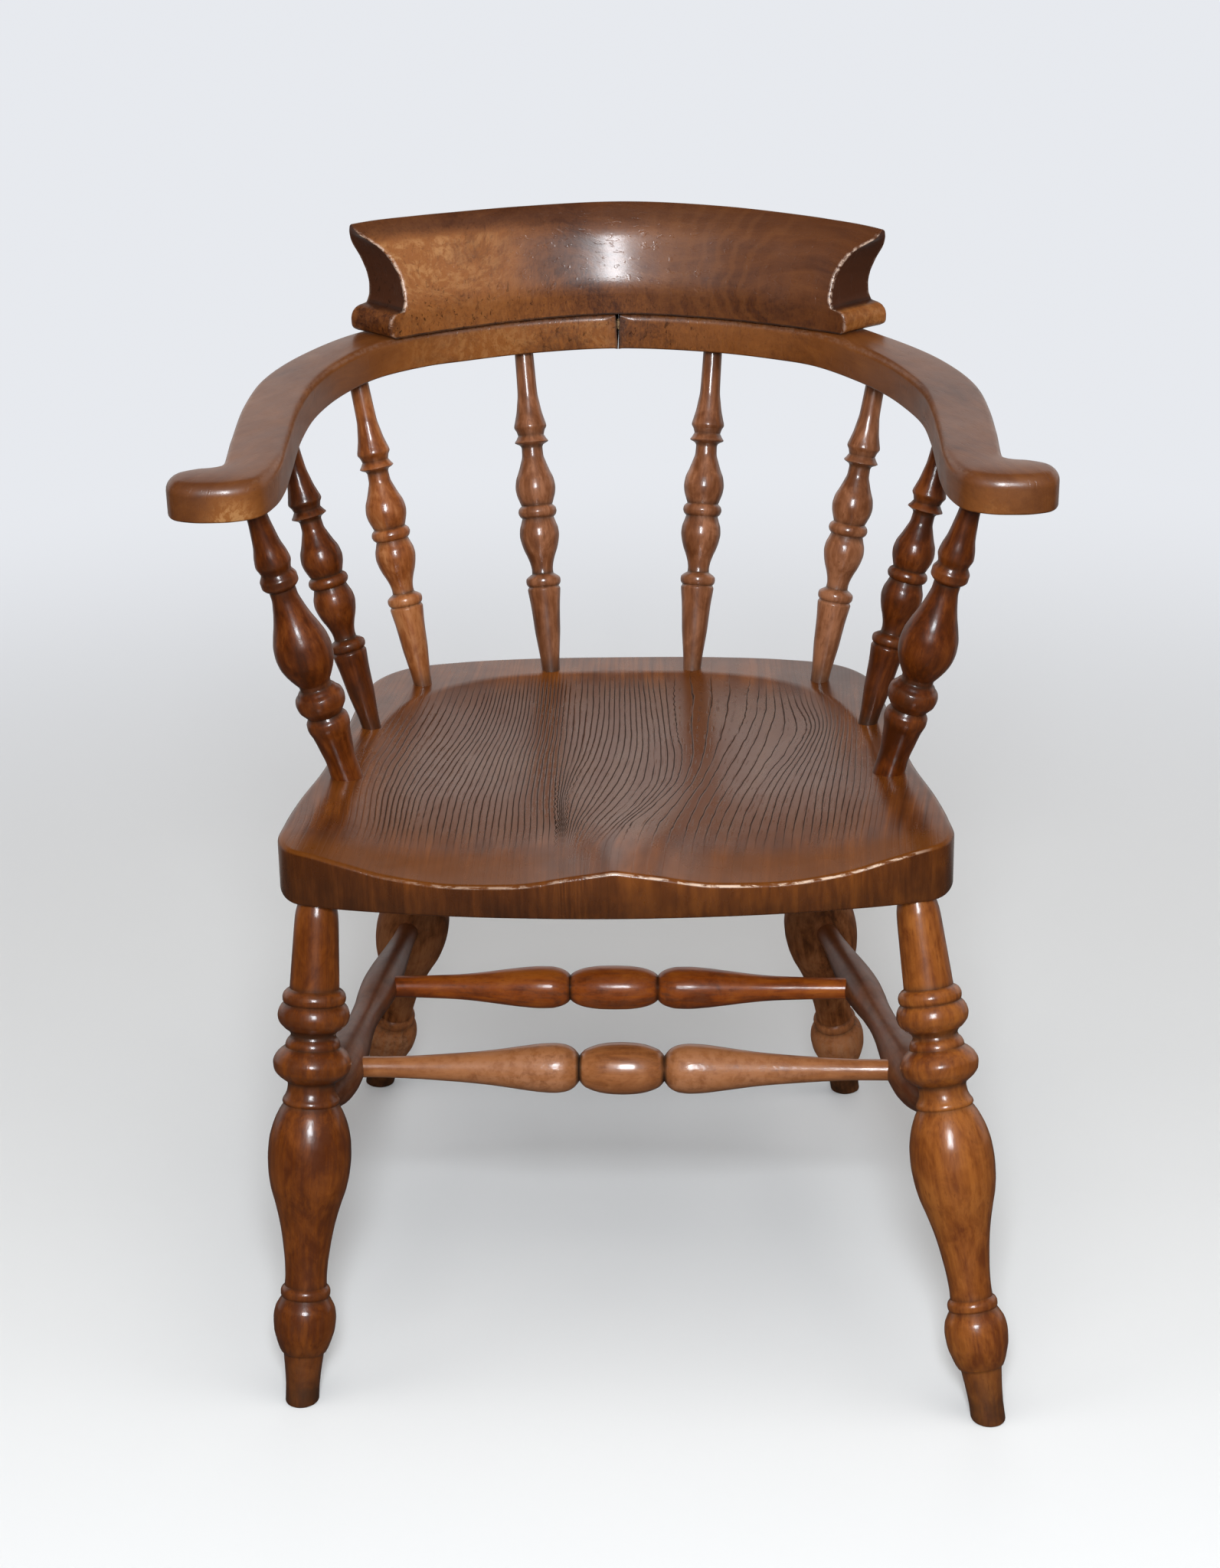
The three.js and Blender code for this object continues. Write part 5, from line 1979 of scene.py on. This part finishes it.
    def figure(self, row: float, s: Array, on_front: Array, on_back: Array) -> dict[str, Array]:
        """Marks one row of the crest for the figure and the shade of its wood, with painted shade on its
        rolled top.

        Args:
            row: its share of the rail's height.
            s: places along the rail.
            on_front: whether each place is on the front.
            on_back: whether each place is on the back.

        Returns:
            The marks by name.
        """
        reach = s / self.half_length
        lower = 1 - fade(row, self.low_band)
        middle, fall, more = self.burr_amounts
        burr = np.clip(middle - fall * reach + more * lower, *self.burr_limits)
        golden = fade(-reach, self.golden_band) * (self.golden_amounts[0] - self.golden_amounts[1] * lower)
        shade = golden - self.dark_amount * fade(reach, self.dark_band)
        # Painted shade: darker towards the rail's rolled top.
        shade = shade - (self.rolled_top_shade + shade) * fade(row, self.top_band)
        scroll = np.where(reach > 0, self.scroll_shades[1], self.scroll_shades[0])
        ends = scroll if row < self.scroll_top else np.full(len(s), self.end_shade)
        arc = np.hypot(s - self.arc_middle[0], self.arc_squash * (row * self.height - self.arc_middle[1]))
        arched = fade(s, self.arched_from) * fade(-s, self.arched_to) * fade(arc, self.arched_beyond)
        return {
            "burr": burr * np.where(on_back, self.back_burr, 1),
            "shade": np.where(on_front, shade, np.where(on_back, self.back_shade, ends)),
            "arc": arc,
            "arched": on_front * arched,
        }

    def row_loop(
        self, near: float, far: float, cut: float, back_cut: float
    ) -> tuple[Array, Array, Array]:
        """One level of the crest, as a closed loop from the left end of its front.

        Args:
            near: the front's distance behind the crest's front line.
            far: the back's distance.
            cut: how far the front's ends are cut in.
            back_cut: how far the back's ends are cut in.

        Returns:
            Places along the front line, distances behind it, and how much each place is a rubbed edge.
        """
        corner = min(self.corner, self.most_corner * (far - near))
        half_front = self.half_length - cut
        half_back = self.half_length - back_cut
        even = np.linspace(-1, 1, self.columns + 1)[1:-1]
        wide = np.concatenate([[-1, -self.rim], even, [self.rim, 1]])
        edge_of_wide = np.concatenate([[self.rim_wear, 0.0], np.zeros(len(even)), [0.0, self.rim_wear]])
        inner = np.linspace(*self.end_band, self.end_columns)
        deep = np.array([0, self.end_rims[0], *inner, self.end_rims[1], 1])
        edge_of_deep = np.array([self.end_wear[0], 0.0, *np.zeros(self.end_columns), 0.0, self.end_wear[1]])
        along_back, at_back = self.back_wear
        depths = near + corner + (far - near - 2 * corner) * deep
        ends = half_front + (half_back - half_front) * (depths - near) / (far - near)
        nip = self.nip_share * corner
        s = [wide * (half_front - corner), [half_front - nip], ends, [half_back - nip]]
        s += [wide[::-1] * (half_back - corner), [nip - half_back], -ends[::-1], [nip - half_front]]
        t = [np.full(len(wide), near), [near + nip], depths, [far - nip]]
        t += [np.full(len(wide), far), [far - nip], depths[::-1], [near + nip]]
        edge = [edge_of_wide, [1], edge_of_deep, [at_back]]
        edge += [along_back * edge_of_wide, [at_back], edge_of_deep[::-1], [1]]
        return np.concatenate(s), np.concatenate(t), np.concatenate(edge)

    def cap(self, loop: int) -> list[list[int]]:
        """Closes a row of the crest.

        Args:
            loop: how many places the row has.

        Returns:
            The faces, by place in the row.
        """
        wide = self.columns + 3
        back = loop // 2
        last = back + wide - 1
        faces = [[i, i + 1, last - i - 1, last - i] for i in range(wide - 1)]
        faces.append([wide - 1, *range(wide, back), back])
        faces.append([*range(last, loop), 0])
        return faces


@dataclass
class HiddenDowels:
    """The dowels inside the bow's joints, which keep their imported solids."""

    nodes: tuple[str, ...] = (
        "crest_dowel_1", "crest_dowel_2", "crest_dowel_3", "crest_dowel_4", "arm_joint_dowel",
    )

    def dress(self, finish: Material) -> None:
        """Gives each dowel its finish.

        Args:
            finish: their material.
        """
        for name in self.nodes:
            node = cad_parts[name]
            node.data.materials.clear()
            node.data.materials.append(finish)
            log.info("dressed %s", name)


# Studio


@dataclass(frozen=True)
class Lamp:
    """A soft flat lamp, with its places and sizes in metres and its power in watts."""

    name: str
    place: Spot
    aim: Spot
    size: Pair
    power: float
    colour: Colour
    mirrored: bool = False

    def hang(self) -> None:
        """Hangs the lamp where it stands, facing its aim."""
        data = bpy.data.lights.new(self.name, "AREA")
        data.shape = "RECTANGLE"
        data.size, data.size_y = self.size
        data.energy = self.power
        data.color = self.colour
        lamp = bpy.data.objects.new(self.name, data)
        lamp.location = self.place
        lamp.visible_camera = False
        lamp.visible_glossy = self.mirrored
        lamp.rotation_euler = (Vector(self.aim) - Vector(self.place)).to_track_quat("-Z", "Y").to_euler()
        bpy.context.scene.collection.objects.link(lamp)


@dataclass(frozen=True)
class Studio:
    """A pale floor with its sizes in metres, soft lamps, and the camera with its place in millimetres."""

    camera_place: Spot = (45.84, -2292.42, 1330.19)
    yaw: float = -0.0228218
    pitch: float = 0.3781626
    roll: float = -0.0168982
    focal_pixels: float = 4000.0
    image_height: float = 2048.0
    sensor: float = 36.0
    floor_colour: Colour = (0.80, 0.80, 0.79)
    backdrop_colour: Colour = (0.80, 0.82, 0.86)
    mirror_colour: Colour = (0.72, 0.69, 0.68)
    floor_bounce: Colour = (0.2, 0.195, 0.19)
    floor_mirror: Colour = (0.05, 0.045, 0.04)
    ambient_colour: Colour = (0.2, 0.2, 0.21)
    dim_colour: Colour = (0.01, 0.009, 0.008)
    wall_mirror: Colour = (0.3, 0.28, 0.27)
    wall_reach: Pair = (0.5, 0.8)
    floor_fade: Pair = (0.7, 2.4)
    floor_half: float = 12.0
    floor_roughness: float = 0.9
    sky_depth: Pair = (0.1, 0.55)
    sky_height: Pair = (0.72, 0.5)
    sight: float = 100
    lamps: tuple[Lamp, ...] = (
        Lamp("key", (0.05, -2.55, 1.85), (0, 0, 0.5), (0.54, 0.9), 76, (0.9, 0.95, 1.0), True),
        Lamp("top", (0.2, -0.6, 2.8), (0, 0, 0.4), (2.4, 2.4), 30, (1.0, 0.98, 0.95)),
        Lamp("left_fill", (-2.6, -0.9, 1.5), (0, 0, 0.5), (1.8, 1.8), 15, (1.0, 0.98, 0.96)),
        Lamp("right_fill", (2.6, -0.7, 1.5), (0, 0, 0.5), (1.8, 1.8), 14, (1.0, 0.98, 0.96)),
        Lamp("rear_fill", (0.2, 2.8, 1.5), (0, 0, 0.5), (1.8, 1.8), 14, (1.0, 1.0, 1.0)),
    )

    def build(self) -> None:
        """Sets up the whole studio."""
        self.make_camera()
        self.make_floor()
        self.make_world()
        for lamp in self.lamps:
            lamp.hang()
        bpy.context.scene.view_settings.view_transform = "Standard"
        log.info("made the studio")

    def make_camera(self) -> None:
        """Puts the camera where it stands for the picture."""
        flat = math.cos(self.pitch)
        ahead = Vector((math.sin(self.yaw) * flat, math.cos(self.yaw) * flat, -math.sin(self.pitch)))
        level = Vector((math.cos(self.yaw), -math.sin(self.yaw), 0))
        above = level.cross(ahead)
        right = math.cos(self.roll) * level + math.sin(self.roll) * above
        up = -math.sin(self.roll) * level + math.cos(self.roll) * above
        data = bpy.data.cameras.new("camera")
        data.sensor_width = self.sensor
        data.lens = self.focal_pixels * self.sensor / self.image_height
        data.clip_end = self.sight
        camera = bpy.data.objects.new("camera", data)
        turn = Matrix((right, up, -ahead)).transposed().to_4x4()
        camera.matrix_world = Part().place() @ Matrix.Translation(Vector(self.camera_place) * MM) @ turn
        bpy.context.scene.collection.objects.link(camera)
        bpy.context.scene.camera = camera

    def make_floor(self) -> None:
        """Lays a wide plain floor."""
        half = self.floor_half
        corners = [(-half, -half, 0), (half, -half, 0), (half, half, 0), (-half, half, 0)]
        data = bpy.data.meshes.new("floor")
        data.from_pydata(corners, [], [(0, 1, 2, 3)])
        floor = bpy.data.objects.new("floor", data)
        bpy.context.scene.collection.objects.link(floor)
        made, n = Finish("floor").start()
        path = n.add("ShaderNodeLightPath")
        watched, mirrored = path.outputs["Is Camera Ray"], path.outputs["Is Glossy Ray"]
        bounce = n.blend(mirrored, self.floor_bounce, self.floor_mirror)
        colour = n.blend(watched, bounce, self.floor_colour)
        surface = n.add("ShaderNodeBsdfPrincipled")
        n.fill(surface, Base_Color=colour, Roughness=self.floor_roughness)
        place = n.add("ShaderNodeTexCoord").outputs["Object"]
        far = n.spread(n.vector_calc("LENGTH", place).outputs["Value"], self.floor_fade)
        near = n.layered(n.times(far, watched), surface.outputs["BSDF"], n.glow(self.backdrop_colour))
        _, depth, _ = n.parts(place)
        beyond = n.times(n.spread(depth, self.wall_reach), mirrored)
        n.end("ShaderNodeOutputMaterial", Surface=n.layered(beyond, near, n.glow(self.wall_mirror)))
        data.materials.append(made)

    def make_world(self) -> None:
        """Makes the pale background that the polish mirrors, and a plain soft light for the rest."""
        world = bpy.data.worlds.new("studio")
        world.use_nodes = True
        bpy.context.scene.world = world
        n = Nodes(world.node_tree)
        _, depth, height = n.parts(n.add("ShaderNodeTexCoord").outputs["Generated"])
        behind = n.times(n.spread(depth, self.sky_depth), n.spread(height, self.sky_height))
        path = n.add("ShaderNodeLightPath")
        glossy = path.outputs["Is Glossy Ray"]
        mirrored = n.calc("MAXIMUM", glossy, path.outputs["Is Transmission Ray"])
        colour = n.blend(glossy, self.ambient_colour, self.dim_colour)
        colour = n.blend(n.times(mirrored, behind), colour, self.mirror_colour)
        colour = n.blend(path.outputs["Is Camera Ray"], colour, self.backdrop_colour)
        back = n.add("ShaderNodeBackground")
        n.fill(back, Color=colour)
        n.end("ShaderNodeOutputWorld", Surface=back.outputs["Background"])


def main() -> None:
    """Builds the chair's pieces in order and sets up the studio."""
    logging.basicConfig(level=logging.INFO, format="%(message)s")
    palette = Palette()
    UnderFrame().build(palette)
    Seat().build(palette.material(Wood.SEAT))
    Uprights().build(palette)
    Bow().build(palette.material(Wood.BOW))
    CrestRail().build(palette.material(Wood.BOW))
    HiddenDowels().dress(palette.material(Wood.DOWEL))
    Studio().build()
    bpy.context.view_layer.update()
    log.info("wrote the sizes")


if __name__ == "__main__":
    main()
